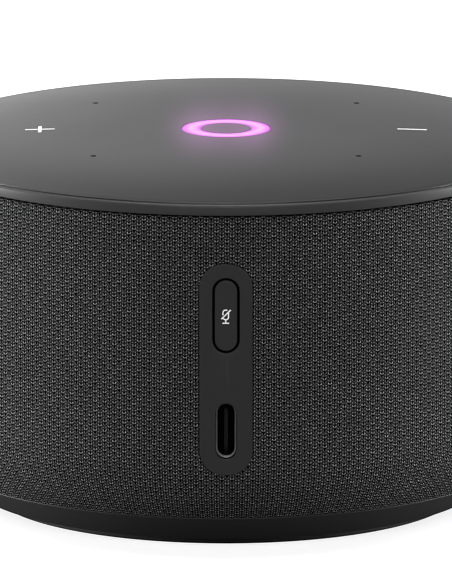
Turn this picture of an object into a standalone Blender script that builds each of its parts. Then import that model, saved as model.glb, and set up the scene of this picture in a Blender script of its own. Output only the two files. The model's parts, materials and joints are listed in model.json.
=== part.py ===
"""Smart speaker: a drum in a knitted sleeve, with a domed touch top and a rear strip that holds a
mute button and a USB-C inlet, and with the parts inside that it needs to work.

Sizes are in millimetres here, and each mesh is scaled to metres as it is made. +Z is up, the origin
is on the table under the middle of the body, and the rear strip faces -Y.
"""

import math

import bmesh
import bpy
from mathutils import Matrix, Vector

MM = 0.001
FIT_GAP = 0.3  # between pieces that touch on the real object

# Body
BODY_RADIUS = 51.0
RIM_TOP = 58.0
CROWN_RISE = 2.0
CROWN_POWER = 4.3
SHELL_FACETS = 48
INNER_FACETS = 28

# Domed cover and its rim
COVER_RADIUS = 50.1
COVER_WALL = 1.6
COVER_SEAT = 57.1
RIM_INNER = 50.35
RIM_BOTTOM = 56.25
RIM_WEB = 0.6
RIM_EDGE = 0.35
SKIRT_OUTER, SKIRT_INNER, SKIRT_BOTTOM = 47.4, 46.2, 53.5
MIC_SPACING = 42.4
MIC_HOLE_RADIUS = 0.45

# Light ring in the middle of the cover
RING_OUTER, RING_INNER = 7.1, 4.1
RING_GAP = 0.04
RING_FACETS = 32
LENS_FLANGE_RADIUS, LENS_BORE_RADIUS = 9.0, 3.0
LENS_BOTTOM, LENS_FLANGE_TOP = 57.2, 58.05

# Knitted sleeve, and the slotted frame under it
SLEEVE_RADIUS = 50.75
SLEEVE_WALL = 0.9
SLEEVE_TOP = 55.95
FOOT_BEND_RADIUS = 14.4  # the sleeve's bottom bends in round this
FOOT_BEND_Z = 16.4
SLEEVE_BEND_END = math.radians(45)
FRAME_RADIUS = SLEEVE_RADIUS - SLEEVE_WALL - 0.35
FRAME_WALL = 1.5
FRAME_BEND_END = math.radians(42)
BEND_CENTRE_RADIUS = SLEEVE_RADIUS - FOOT_BEND_RADIUS

# Rear strip
STRIP_WIDTH, STRIP_HEIGHT, STRIP_CORNER = 8.4, 34.2, 3.85
STRIP_Z = 31.3
STRIP_FLANGE = (14.4, 36.6)
STRIP_FLANGE_FRONT, STRIP_FLANGE_BACK = -46.6, -45.6
STRIP_LIP_BACK = -48.5
BUTTON_WIDTH, BUTTON_HEIGHT, BUTTON_Z = 3.55, 11.4, 40.1
BUTTON_GAP = 0.4
BUTTON_FLANGE = (5.2, 13.0)
INLET_Z = 21.3
INLET_WIDTH, INLET_HEIGHT, INLET_WALL = 3.26, 8.94, 0.35
INLET_FRONT = -49.9
TONGUE_WIDTH, TONGUE_HEIGHT, TONGUE_FRONT = 0.7, 6.3, -47.9
IO_BOARD_FRONT, IO_BOARD_WALL = -43.6, 1.0

# Base
BASE_EDGE_RADIUS, BASE_BOTTOM = 41.1, 1.5
BASE_FLOOR_TOP = 3.7
FOOT_OUTER, FOOT_INNER, FOOT_TOP = 38.0, 30.0, 2.0
BASE_SCREW_CIRCLE = 24.0
BASE_SCREW_HEAD_Z, BASE_SCREW_TIP_Z, BASE_SCREW_RADIUS = 2.2, 15.0, 2.5

# Screws
SCREW_RADIUS, SCREW_HEAD_HEIGHT, SCREW_RECESS_RADIUS, SCREW_RECESS_DEPTH = 1.0, 1.6, 1.1, 0.9

# Boards, chamber and top deck
MAIN_BOARD_BOTTOM, MAIN_BOARD_TOP, MAIN_BOARD_RADIUS = 10.0, 11.6, 39.0
CHAMBER_RADIUS, CHAMBER_BOTTOM, CHAMBER_TOP, CHAMBER_WALL = 38.5, 14.0, 44.0, 2.0
CHAMBER_FLANGE_RADIUS, DRIVER_HOLE_RADIUS = 41.0, 28.6
DECK_BOTTOM, DECK_TOP, DECK_RADIUS = 52.0, 53.4, 38.5
TOP_SCREW_CIRCLE = 35.0
TOP_SCREW_HEAD_Z, TOP_SCREW_TIP_Z, TOP_SCREW_RADIUS = 57.5, 43.0, 2.2
TOUCH_BOARD_BOTTOM, TOUCH_BOARD_TOP, TOUCH_BOARD_RADIUS = 54.8, 55.8, 45.0

# Loudspeaker
CONE_EDGE_RADIUS, CONE_EDGE_TOP = 22.8, 45.7
CONE_NECK_RADIUS, CONE_NECK_Z = 8.4, 34.4
COIL_INNER, COIL_OUTER = 7.7, 8.1
SURROUND_ROLL_RADIUS, SURROUND_ROLL_AT, SURROUND_WALL = 2.6, 25.4, 0.5
BASKET_RADIUS, BASKET_TOP, BASKET_FLANGE_BOTTOM = 33.0, 45.8, 44.6

# name: base colour, roughness, metallic
MATERIALS = {
    "top_plastic": ((0.045, 0.045, 0.046), 0.38, 0.0),
    "rim_plastic": ((0.050, 0.050, 0.051), 0.40, 0.0),
    "strip_plastic": ((0.035, 0.035, 0.035), 0.50, 0.0),
    "base_plastic": ((0.035, 0.035, 0.036), 0.50, 0.0),
    "frame_plastic": ((0.020, 0.020, 0.021), 0.60, 0.0),
    "knit": ((0.070, 0.070, 0.071), 0.80, 0.0),
    "lens": ((1.000, 0.450, 1.000), 0.30, 0.0),
    "diffuser_plastic": ((0.800, 0.800, 0.800), 0.50, 0.0),
    "rubber": ((0.020, 0.020, 0.020), 0.80, 0.0),
    "board": ((0.010, 0.070, 0.035), 0.45, 0.0),
    "chip": ((0.015, 0.015, 0.016), 0.40, 0.0),
    "socket": ((0.700, 0.680, 0.600), 0.50, 0.0),
    "steel": ((0.560, 0.570, 0.580), 0.30, 1.0),
    "ferrite": ((0.035, 0.035, 0.037), 0.55, 0.0),
    "copper": ((0.800, 0.380, 0.180), 0.35, 1.0),
    "paper": ((0.030, 0.030, 0.030), 0.90, 0.0),
    "foam": ((0.030, 0.030, 0.032), 1.00, 0.0),
    "flex": ((0.450, 0.220, 0.040), 0.40, 0.0),
    "wire": ((0.500, 0.020, 0.020), 0.45, 0.0),
}


# --- scene helpers ---------------------------------------------------------------------------


def clear_scene():
    for obj in list(bpy.data.objects):
        bpy.data.objects.remove(obj)


def make_materials():
    made = {}
    for name, (colour, roughness, metallic) in MATERIALS.items():
        material = bpy.data.materials.new(name)
        material.use_nodes = True
        shader = material.node_tree.nodes["Principled BSDF"]
        shader.inputs["Base Color"].default_value = (*colour, 1)
        shader.inputs["Roughness"].default_value = roughness
        shader.inputs["Metallic"].default_value = metallic
        made[name] = material
    return made


def add_empty(name, at=(0, 0, 0), parent=None):
    empty = bpy.data.objects.new(name, None)
    bpy.context.scene.collection.objects.link(empty)
    place(empty, at, parent)
    return empty


def place(obj, at, parent):
    """Puts an object at a point of the whole speaker, in millimetres, under its parent empty."""
    origin = Vector((0, 0, 0))
    if parent:
        obj.parent = parent
        origin = parent.location
    obj.location = Vector(at) * MM - origin


def add_object(name, bm, at, parent, material=None):
    """Turns a bmesh in millimetres into an object in metres."""
    bmesh.ops.recalc_face_normals(bm, faces=bm.faces)
    bmesh.ops.scale(bm, vec=(MM, MM, MM), verts=bm.verts)
    mesh = bpy.data.meshes.new(name)
    bm.to_mesh(mesh)
    bm.free()
    mesh.shade_smooth()
    mesh.set_sharp_from_angle(angle=math.radians(35))
    obj = bpy.data.objects.new(name, mesh)
    bpy.context.scene.collection.objects.link(obj)
    place(obj, at, parent)
    if material:
        mesh.materials.append(materials[material])
    return obj


def add_piece(name, bm, material, at=(0, 0, 0), parent=None):
    return add_object(name, bm, at, parent or housing, material)


def add_tool(name, bm, at=(0, 0, 0)):
    """A solid that only cuts or joins, and isn't part of the speaker."""
    obj = add_object("tool_" + name, bm, at, None)
    obj.hide_render = True
    obj.display_type = "WIRE"
    return obj


def combine(obj, operation, *tools):
    for tool in tools:
        modifier = obj.modifiers.new(tool.name, "BOOLEAN")
        modifier.operation = operation
        modifier.solver = "EXACT"
        modifier.object = tool


def cut(obj, *tools):
    combine(obj, "DIFFERENCE", *tools)


def join(obj, *tools):
    combine(obj, "UNION", *tools)


# --- shapes, as bmeshes in millimetres ---------------------------------------------------------


def turned(profile, facets=SHELL_FACETS):
    """A profile of (radius, z) points, turned round Z. One that starts and ends on the axis is open there."""
    bm = bmesh.new()
    points = [bm.verts.new((radius, 0, z)) for radius, z in profile]
    edges = [bm.edges.new(pair) for pair in zip(points, points[1:])]
    if profile[0][0] > 0:
        edges.append(bm.edges.new((points[-1], points[0])))
    bmesh.ops.spin(
        bm,
        geom=points + edges,
        axis=(0, 0, 1),
        cent=(0, 0, 0),
        angle=math.tau,
        steps=facets,
        use_merge=True,
    )
    bmesh.ops.remove_doubles(bm, verts=bm.verts, dist=1e-4)
    return bm


def ring(inner, outer, bottom, top, facets=INNER_FACETS):
    return turned([(inner, bottom), (outer, bottom), (outer, top), (inner, top)], facets)


def disc(radius, bottom, top, facets=INNER_FACETS):
    return turned([(0, bottom), (radius, bottom), (radius, top), (0, top)], facets)


def block(low, high):
    bm = bmesh.new()
    size = Vector(high) - Vector(low)
    middle = (Vector(high) + Vector(low)) / 2
    bmesh.ops.create_cube(bm, matrix=Matrix.Translation(middle) @ Matrix.Diagonal((*size, 1)))
    return bm


def rounded_outline(width, height, corner, steps=5):
    """A rectangle's outline with round corners, as (x, z) points."""
    points = []
    for quarter in range(4):
        side_x = 1 if quarter in (0, 3) else -1
        side_z = 1 if quarter in (0, 1) else -1
        for step in range(steps + 1):
            angle = math.radians(90) * (quarter + step / steps)
            points.append(
                (
                    side_x * (width / 2 - corner) + corner * math.cos(angle),
                    side_z * (height / 2 - corner) + corner * math.sin(angle),
                )
            )
    return points


def along_y(outline, front, back):
    """An (x, z) outline drawn out from y = front to y = back."""
    bm = bmesh.new()
    face = bm.faces.new([bm.verts.new((x, front, z)) for x, z in outline])
    drawn = bmesh.ops.extrude_face_region(bm, geom=[face])["geom"]
    moved = [item for item in drawn if isinstance(item, bmesh.types.BMVert)]
    bmesh.ops.translate(bm, vec=(0, back - front, 0), verts=moved)
    bmesh.ops.remove_doubles(bm, verts=bm.verts, dist=1e-5)
    return bm


def stadium_along_y(width, height, front, back, steps=5):
    return along_y(rounded_outline(width, height, width / 2 - 0.001, steps), front, back)


def strip_of(path, width, wall):
    """A flat flexible cable: a path of (y, z) points, with its width along X."""
    bm = bmesh.new()
    offsets = []
    for index, point in enumerate(path):
        before = Vector(path[max(index - 1, 0)])
        after = Vector(path[min(index + 1, len(path) - 1)])
        along = (after - before).normalized()
        offsets.append((Vector(point), Vector((-along.y, along.x)) * wall / 2))
    outline = [point + side for point, side in offsets]
    outline += [point - side for point, side in reversed(offsets)]
    face = bm.faces.new([bm.verts.new((-width / 2, p.x, p.y)) for p in outline])
    drawn = bmesh.ops.extrude_face_region(bm, geom=[face])["geom"]
    moved = [item for item in drawn if isinstance(item, bmesh.types.BMVert)]
    bmesh.ops.translate(bm, vec=(width, 0, 0), verts=moved)
    return bm


def bend_points(radius, start, end, steps):
    """Points on the body's bottom bend, at this distance from the bend's own centre."""
    angles = [start + (end - start) * step / steps for step in range(steps + 1)]
    return [
        (
            BEND_CENTRE_RADIUS + radius * math.cos(angle),
            FOOT_BEND_Z - radius * math.sin(angle),
        )
        for angle in angles
    ]


def corners(radius, first_angle=45):
    """Four places on a circle, a quarter turn apart."""
    angles = [math.radians(first_angle + 90 * quarter) for quarter in range(4)]
    return [(radius * math.cos(angle), radius * math.sin(angle)) for angle in angles]


def crown_height(radius):
    return RIM_TOP + CROWN_RISE * (1 - (radius / BODY_RADIUS) ** CROWN_POWER)


def mic_places():
    return corners(MIC_SPACING / 2 * math.sqrt(2))


# --- top ---------------------------------------------------------------------------------------


def add_top_cover():
    outside = [(r, crown_height(r)) for r in (0, 18, 29, 36, 41, 45, 48, COVER_RADIUS)]
    seat = [(COVER_RADIUS, COVER_SEAT), (45.6, COVER_SEAT)]
    inside = [(r, crown_height(r) - COVER_WALL) for r in (44, 36, 26, 0)]
    cover = add_piece("top_cover", turned(outside + seat + inside), "top_plastic")
    window = disc(RING_OUTER + RING_GAP, LENS_BOTTOM, RIM_TOP + 2 * CROWN_RISE, RING_FACETS)
    cut(cover, add_tool("ring_window", window))
    for number, (x, y) in enumerate(mic_places(), 1):
        hole = disc(MIC_HOLE_RADIUS, COVER_SEAT, RIM_TOP + 2 * CROWN_RISE, 12)
        cut(cover, add_tool(f"mic_hole_{number}", hole, (x, y, 0)))


def add_light_ring():
    """The lit ring is the top of a flanged lens, and the cover's cut-out disc sits in its middle."""
    top = crown_height(RING_OUTER) - 0.02
    profile = [
        (RING_OUTER, top),
        (RING_OUTER, LENS_FLANGE_TOP),
        (LENS_FLANGE_RADIUS, LENS_FLANGE_TOP),
        (LENS_FLANGE_RADIUS, LENS_BOTTOM),
        (LENS_BORE_RADIUS, LENS_BOTTOM),
        (LENS_BORE_RADIUS, LENS_FLANGE_TOP),
        (RING_INNER, LENS_FLANGE_TOP),
        (RING_INNER, top),
    ]
    add_piece("light_ring_lens", turned(profile, RING_FACETS), "lens")
    core = disc(RING_INNER - RING_GAP, LENS_FLANGE_TOP + 0.1, crown_height(0), RING_FACETS)
    add_piece("light_ring_core", core, "top_plastic")


def add_rim_ring():
    edge_r, edge_z = BODY_RADIUS - RIM_EDGE, RIM_TOP - RIM_EDGE
    rounding = [
        (edge_r + RIM_EDGE * math.sin(angle), edge_z + RIM_EDGE * math.cos(angle))
        for angle in (0, math.radians(30), math.radians(60), math.radians(90))
    ]
    profile = [(RIM_INNER, RIM_TOP - 0.15), (RIM_INNER + 0.12, RIM_TOP)]
    profile += rounding
    profile += [
        (BODY_RADIUS, RIM_BOTTOM + 0.15),
        (BODY_RADIUS - 0.15, RIM_BOTTOM),
        (SKIRT_OUTER, RIM_BOTTOM),
        (SKIRT_OUTER, SKIRT_BOTTOM),
        (SKIRT_INNER, SKIRT_BOTTOM),
        (SKIRT_INNER, RIM_BOTTOM + RIM_WEB),
        (RIM_INNER, RIM_BOTTOM + RIM_WEB),
    ]
    add_piece("rim_ring", turned(profile), "rim_plastic")


# --- sides -------------------------------------------------------------------------------------


def add_fabric_sleeve():
    inner = SLEEVE_RADIUS - SLEEVE_WALL
    profile = [(SLEEVE_RADIUS, SLEEVE_TOP)]
    profile += bend_points(FOOT_BEND_RADIUS, 0, SLEEVE_BEND_END, 5)
    profile += bend_points(FOOT_BEND_RADIUS - SLEEVE_WALL, SLEEVE_BEND_END, 0, 5)
    profile += [(inner, SLEEVE_TOP)]
    sleeve = add_piece("fabric_sleeve", turned(profile), "knit")
    opening = rounded_outline(STRIP_WIDTH + 0.2, STRIP_HEIGHT + 0.2, STRIP_CORNER + 0.1)
    tool = add_tool("strip_opening", along_y(opening, -60, -40), (0, 0, STRIP_Z))
    cut(sleeve, tool)


def add_grille_frame():
    """A shell of one cell per facet. Every second cell of four rows is a slot, and the strip has a window."""
    levels = [(FRAME_RADIUS, z) for z in (55.9, 53.4, 49.4, 47.8, 38.6, 36.8, 27.6, 25.8)]
    slot_rows = (1, 3, 5, 7)
    window_rows = range(2, 9)
    levels += bend_points(FRAME_RADIUS - BEND_CENTRE_RADIUS, 0, math.radians(13), 1)
    levels += bend_points(
        FRAME_RADIUS - BEND_CENTRE_RADIUS, math.radians(27.5), FRAME_BEND_END, 1
    )
    bm = bmesh.new()
    rows = []
    for radius, z in levels:
        turn = [math.tau * step / SHELL_FACETS for step in range(SHELL_FACETS)]
        rows.append([bm.verts.new((radius * math.cos(a), radius * math.sin(a), z)) for a in turn])
    back = SHELL_FACETS * 3 // 4
    beside_window = range(back - 2, back + 2)
    for row in range(len(levels) - 1):
        for cell in range(SHELL_FACETS):
            if row in window_rows and cell in (back - 1, back):
                continue
            if row in slot_rows and cell % 2 and cell not in beside_window:
                continue
            after = (cell + 1) % SHELL_FACETS
            bm.faces.new((rows[row][cell], rows[row + 1][cell], rows[row + 1][after], rows[row][after]))
    frame = add_piece("grille_frame", bm, "frame_plastic")
    wall = frame.modifiers.new("wall", "SOLIDIFY")
    wall.thickness = FRAME_WALL * MM
    wall.offset = -1
    wall.use_even_offset = True


def add_rear_panel():
    """The strip's face follows the body's cylinder. A flange behind the frame holds it in."""
    outline = rounded_outline(STRIP_WIDTH, STRIP_HEIGHT, STRIP_CORNER)
    at = (0, 0, STRIP_Z)
    panel = add_piece("rear_panel", along_y(outline, -53, STRIP_FLANGE_FRONT + 0.5), "strip_plastic", at)
    face = disc(BODY_RADIUS, -20, 20, 4 * SHELL_FACETS)
    combine(panel, "INTERSECT", add_tool("strip_face", face, at))
    flange = rounded_outline(*STRIP_FLANGE, 2.0, 2)
    join(panel, add_tool("strip_flange", along_y(flange, STRIP_FLANGE_FRONT, STRIP_FLANGE_BACK), at))
    slot = stadium_along_y(BUTTON_WIDTH + 2 * BUTTON_GAP, BUTTON_HEIGHT + 2 * BUTTON_GAP, -55, -47)
    pocket = stadium_along_y(BUTTON_FLANGE[0] + 0.8, BUTTON_FLANGE[1] + 0.8, STRIP_LIP_BACK, -40)
    inlet = stadium_along_y(INLET_WIDTH + 0.24, INLET_HEIGHT + 0.24, -55, -40)
    cut(
        panel,
        add_tool("button_slot", slot, (0, 0, BUTTON_Z)),
        add_tool("button_pocket", pocket, (0, 0, BUTTON_Z)),
        add_tool("inlet_slot", inlet, (0, 0, INLET_Z)),
    )


def add_mute_button():
    """A key with a curved face, a flange that keeps it in, and a post that meets the switch."""
    at = (0, -BODY_RADIUS, BUTTON_Z)
    flange_front = BODY_RADIUS + STRIP_LIP_BACK + FIT_GAP
    key = stadium_along_y(BUTTON_WIDTH, BUTTON_HEIGHT, -2, flange_front + 0.1)
    button = add_piece("mute_button", key, "strip_plastic", at, button_slide)
    face = disc(BODY_RADIUS, -10, 10, 4 * SHELL_FACETS)
    combine(button, "INTERSECT", add_tool("button_face", face, (0, 0, BUTTON_Z)))
    flange = stadium_along_y(*BUTTON_FLANGE, flange_front, flange_front + 0.8)
    post = stadium_along_y(2.4, 2.41, flange_front + 0.6, 4.45, 3)
    join(button, add_tool("button_flange", flange, at), add_tool("button_post", post, at))


def add_switch():
    body = block((-1.75, -45.3, BUTTON_Z - 3), (1.75, IO_BOARD_FRONT - 0.1, BUTTON_Z + 3))
    switch = add_piece("tact_switch", body, "chip")
    bore = stadium_along_y(2.1, 2.11, -46, -44.4, 3)
    cut(switch, add_tool("plunger_bore", bore, (0, 0, BUTTON_Z)))
    plunger = stadium_along_y(1.5, 1.51, 4.55, 6.1, 3)
    add_piece("switch_plunger", plunger, "socket", (0, -BODY_RADIUS, BUTTON_Z), button_slide)


def add_usb_inlet():
    at = (0, 0, INLET_Z)
    back = IO_BOARD_FRONT - 0.1
    shell = add_piece(
        "usb_shell", stadium_along_y(INLET_WIDTH, INLET_HEIGHT, INLET_FRONT, back), "steel", at
    )
    inner = (INLET_WIDTH - 2 * INLET_WALL, INLET_HEIGHT - 2 * INLET_WALL)
    cut(shell, add_tool("inlet_bore", stadium_along_y(*inner, -53, -40), at))
    plug = (inner[0] - 0.2, inner[1] - 0.2)
    tongue = add_piece("usb_tongue", stadium_along_y(*plug, -45.4, back), "chip", at)
    blade = block(
        (-TONGUE_WIDTH / 2, TONGUE_FRONT, -TONGUE_HEIGHT / 2),
        (TONGUE_WIDTH / 2, -45.0, TONGUE_HEIGHT / 2),
    )
    join(tongue, add_tool("inlet_blade", blade, at))


def add_io_board():
    low = (-6, IO_BOARD_FRONT, 13.3)
    high = (6, IO_BOARD_FRONT + IO_BOARD_WALL, 49.0)
    add_piece("io_board", block(low, high), "board")
    route = [(-43.1, 12.95), (-42.95, 12.4), (-42.4, 12.1), (-36.5, 12.0)]
    add_piece("io_cable", strip_of(route, 6, 0.2), "flex")


# --- base --------------------------------------------------------------------------------------


def add_base_housing():
    lip = bend_points(FOOT_BEND_RADIUS, SLEEVE_BEND_END + math.radians(1), 1, 1)[0]
    lip_inner = (lip[0] - 1.7, lip[1] + 1.7)
    groove_outer, groove_inner = FOOT_OUTER + FIT_GAP, FOOT_INNER - FIT_GAP
    groove_top = FOOT_TOP + FIT_GAP
    profile = [
        (0, BASE_FLOOR_TOP),
        (BASE_EDGE_RADIUS - 1.2, BASE_FLOOR_TOP),
        lip_inner,
        lip,
        (BASE_EDGE_RADIUS, BASE_BOTTOM),
        (groove_outer, BASE_BOTTOM),
        (groove_outer, groove_top),
        (groove_inner, groove_top),
        (groove_inner, BASE_BOTTOM),
        (0, BASE_BOTTOM),
    ]
    base = add_piece("base_housing", turned(profile), "base_plastic")
    for number, (x, y) in enumerate(corners(BASE_SCREW_CIRCLE), 1):
        at = (x, y, 0)
        post = disc(4.2, BASE_FLOOR_TOP - 0.4, MAIN_BOARD_BOTTOM - FIT_GAP, 16)
        join(base, add_tool(f"base_post_{number}", post, at))
        head_pocket = disc(2.9, 0, 4.1, 16)
        bore = disc(1.3, 3, MAIN_BOARD_BOTTOM + 1, 12)
        cut(base, add_tool(f"base_pocket_{number}", head_pocket, at))
        cut(base, add_tool(f"base_bore_{number}", bore, at))


def add_rubber_foot():
    chamfer = 0.4
    profile = [
        (FOOT_INNER, FOOT_TOP),
        (FOOT_INNER, chamfer),
        (FOOT_INNER + chamfer, 0),
        (FOOT_OUTER - chamfer, 0),
        (FOOT_OUTER, chamfer),
        (FOOT_OUTER, FOOT_TOP),
    ]
    add_piece("rubber_foot", turned(profile), "rubber")


def add_screws(name, places, head_z, tip_z, head_radius):
    """Screws with the head's flat end at head_z, the tip at tip_z and a hexagonal recess."""
    way = math.copysign(1, tip_z - head_z)
    shoulder = head_z + SCREW_HEAD_HEIGHT * way
    profile = [(0, head_z), (head_radius, head_z), (head_radius, shoulder), (SCREW_RADIUS, shoulder)]
    profile += [(SCREW_RADIUS, tip_z - 0.6 * way), (0.5, tip_z), (0, tip_z)]
    recess_low, recess_high = sorted((head_z - way, head_z + SCREW_RECESS_DEPTH * way))
    for number, (x, y) in enumerate(places, 1):
        screw = add_piece(f"{name}_{number}", turned(profile, 10), "steel", (x, y, 0))
        recess = disc(SCREW_RECESS_RADIUS, recess_low, recess_high, 6)
        cut(screw, add_tool(f"{name}_recess_{number}", recess, (x, y, 0)))


# --- boards ------------------------------------------------------------------------------------


def add_main_board():
    plate = disc(MAIN_BOARD_RADIUS, MAIN_BOARD_BOTTOM, MAIN_BOARD_TOP)
    board = add_piece("main_board", plate, "board")
    for number, (x, y) in enumerate(corners(BASE_SCREW_CIRCLE), 1):
        hole = disc(1.6, MAIN_BOARD_BOTTOM - 1, MAIN_BOARD_TOP + 1, 12)
        cut(board, add_tool(f"board_hole_{number}", hole, (x, y, 0)))
    can = add_piece("shield_can", block((-11, -10, 6.8), (11, 10, 9.8)), "steel")
    cut(can, add_tool("can_inside", block((-10.7, -9.7, 7.1), (10.7, 9.7, 12))))
    add_piece("processor_chip", block((-6, -6, 8.5), (6, 6, 9.8)), "chip")
    add_piece("amplifier_chip", block((20, -4, 8.7), (28, 4, 9.8)), "chip")
    add_piece("speaker_socket", block((19.5, 4, 11.8), (24.5, 10, 13.2)), "socket")
    add_piece("ribbon_socket", block((-6, 35, 11.8), (6, 38.4, 12.9)), "socket")
    add_piece("wifi_antenna", block((39.2, -5, 18), (40.0, 5, 38)), "board")


def add_touch_board():
    plate = disc(TOUCH_BOARD_RADIUS, TOUCH_BOARD_BOTTOM, TOUCH_BOARD_TOP)
    board = add_piece("touch_board", plate, "board")
    holes = [(0.6, place) for place in mic_places()]
    holes += [(1.4, place) for place in corners(TOP_SCREW_CIRCLE, 0)]
    for number, (radius, (x, y)) in enumerate(holes, 1):
        hole = disc(radius, TOUCH_BOARD_BOTTOM - 1, TOUCH_BOARD_TOP + 1, 10)
        cut(board, add_tool(f"touch_hole_{number}", hole, (x, y, 0)))
    for number, (x, y) in enumerate(mic_places(), 1):
        low = (x - 1.75, y - 1.35, TOUCH_BOARD_BOTTOM - 1.1)
        high = (x + 1.75, y + 1.35, TOUCH_BOARD_BOTTOM - 0.1)
        add_piece(f"microphone_{number}", block(low, high), "steel")
        tube = ring(0.7, 2.2, TOUCH_BOARD_TOP + 0.1, 58.0, 10)
        add_piece(f"mic_gasket_{number}", tube, "rubber", (x, y, 0))
    for number, (x, y) in enumerate(corners((RING_OUTER + RING_INNER) / 2), 1):
        low = (x - 0.9, y - 0.9, TOUCH_BOARD_TOP + 0.1)
        high = (x + 0.9, y + 0.9, TOUCH_BOARD_TOP + 0.7)
        add_piece(f"led_{number}", block(low, high), "diffuser_plastic")
    route = [(38.8, 12.3), (43.0, 12.3), (43.7, 12.6), (43.9, 13.3)]
    route += [(43.9, 53.3), (43.7, 53.9), (42.9, 54.1)]
    add_piece("ribbon_cable", strip_of(route, 10, 0.3), "flex")


def add_light_guide():
    top = LENS_BOTTOM - 0.15
    profile = [(9.8, top), (9.8, TOUCH_BOARD_TOP + 0.2), (9.1, TOUCH_BOARD_TOP + 0.2)]
    profile += [(9.1, top - 0.35), (2.8, top - 0.35), (2.8, top)]
    add_piece("light_guide", turned(profile, 24), "diffuser_plastic")


# --- chamber and top deck ------------------------------------------------------------------------


def add_acoustic_chamber():
    inner = CHAMBER_RADIUS - CHAMBER_WALL
    profile = [
        (0, CHAMBER_BOTTOM + CHAMBER_WALL),
        (inner, CHAMBER_BOTTOM + CHAMBER_WALL),
        (inner, CHAMBER_TOP - CHAMBER_WALL),
        (DRIVER_HOLE_RADIUS, CHAMBER_TOP - CHAMBER_WALL),
        (DRIVER_HOLE_RADIUS, CHAMBER_TOP),
        (CHAMBER_FLANGE_RADIUS, CHAMBER_TOP),
        (CHAMBER_FLANGE_RADIUS, CHAMBER_TOP - CHAMBER_WALL),
        (CHAMBER_RADIUS, CHAMBER_TOP - CHAMBER_WALL),
        (CHAMBER_RADIUS, CHAMBER_BOTTOM),
        (0, CHAMBER_BOTTOM),
    ]
    chamber = add_piece("acoustic_chamber", turned(profile, INNER_FACETS), "frame_plastic")
    for number, (x, y) in enumerate(corners(BASE_SCREW_CIRCLE), 1):
        post = disc(3.2, MAIN_BOARD_TOP + FIT_GAP, CHAMBER_BOTTOM + 0.5, 12)
        join(chamber, add_tool(f"chamber_post_{number}", post, (x, y, 0)))
        bore = disc(1.3, MAIN_BOARD_TOP, CHAMBER_BOTTOM + 1.4, 12)
        cut(chamber, add_tool(f"chamber_bore_{number}", bore, (x, y, 0)))
    for number, (x, y) in enumerate(corners(TOP_SCREW_CIRCLE, 0), 1):
        bore = disc(1.3, CHAMBER_TOP - 1.5, CHAMBER_TOP + 1, 10)
        cut(chamber, add_tool(f"deck_bore_{number}", bore, (x, y, 0)))
    cable_hole = disc(1.4, CHAMBER_BOTTOM - 1, CHAMBER_BOTTOM + 3, 12)
    cut(chamber, add_tool("cable_hole", cable_hole, (22, 7, 0)))


def add_sound_diffuser():
    """A deck on four posts, with a cone under it that turns the driver's sound outwards."""
    profile = [(0, DECK_TOP), (DECK_RADIUS, DECK_TOP), (DECK_RADIUS, DECK_BOTTOM)]
    profile += [(17, DECK_BOTTOM), (9, 50.2), (3.5, 47.8), (0, 47.0)]
    deck = add_piece("sound_diffuser", turned(profile, INNER_FACETS), "frame_plastic")
    for number, (x, y) in enumerate(corners(TOP_SCREW_CIRCLE, 0), 1):
        at = (x, y, 0)
        post = disc(1.9, CHAMBER_TOP + FIT_GAP, TOUCH_BOARD_BOTTOM - FIT_GAP, 12)
        join(deck, add_tool(f"deck_post_{number}", post, at))
    for number, (x, y) in enumerate(corners(TOP_SCREW_CIRCLE, 0), 1):
        bore = disc(1.2, CHAMBER_TOP - 1, TOUCH_BOARD_TOP, 10)
        cut(deck, add_tool(f"post_bore_{number}", bore, (x, y, 0)))


def add_speaker_cable():
    """The driver's lead, from its socket on the main board through the chamber's floor."""
    points = [(22, 7, 13.5), (22, 7, 17), (22.4, 7.1, 24), (24.5, 7.8, 32), (25.3, 8, 39)]
    curve = bpy.data.curves.new("speaker_cable", "CURVE")
    curve.dimensions = "3D"
    curve.bevel_depth = 0.9 * MM
    curve.bevel_resolution = 2
    curve.use_fill_caps = True
    spline = curve.splines.new("POLY")
    spline.points.add(len(points) - 1)
    for point, (x, y, z) in zip(spline.points, points):
        point.co = (x * MM, y * MM, z * MM, 1)
    cable = bpy.data.objects.new("speaker_cable", curve)
    bpy.context.scene.collection.objects.link(cable)
    place(cable, (0, 0, 0), housing)
    curve.materials.append(materials["wire"])


# --- loudspeaker -------------------------------------------------------------------------------


def add_driver_motor():
    add_piece("driver_gasket", ring(28.9, 32.6, CHAMBER_TOP + 0.1, CHAMBER_TOP + 0.5), "foam")
    yoke = [(0, 18.0), (17, 18.0), (17, 20.6), (7.2, 20.6), (7.2, 29.7), (0, 29.7)]
    add_piece("magnet_yoke", turned(yoke, 24), "steel")
    add_piece("driver_magnet", ring(10.0, 18.0, 20.9, 26.8, 24), "ferrite")
    add_piece("magnet_top_plate", ring(8.75, 16.5, 27.1, 29.7, 24), "steel")
    basket = [
        (BASKET_RADIUS, BASKET_TOP),
        (BASKET_RADIUS, BASKET_FLANGE_BOTTOM),
        (27.6, BASKET_FLANGE_BOTTOM),
        (17.6, 30.0),
        (9.8, 30.0),
        (9.8, 31.2),
        (15.8, 31.2),
        (15.8, 32.9),
        (18.0, 32.9),
        (26.2, 44.9),
        (26.2, BASKET_TOP),
    ]
    frame = add_piece("driver_basket", turned(basket, INNER_FACETS), "steel")
    for number in range(4):
        window = block((10, -6, 34.4), (34, 6, 42.5))
        tool = add_tool(f"basket_window_{number}", window)
        tool.rotation_euler.z = math.radians(90 * number)
        cut(frame, tool)


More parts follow.
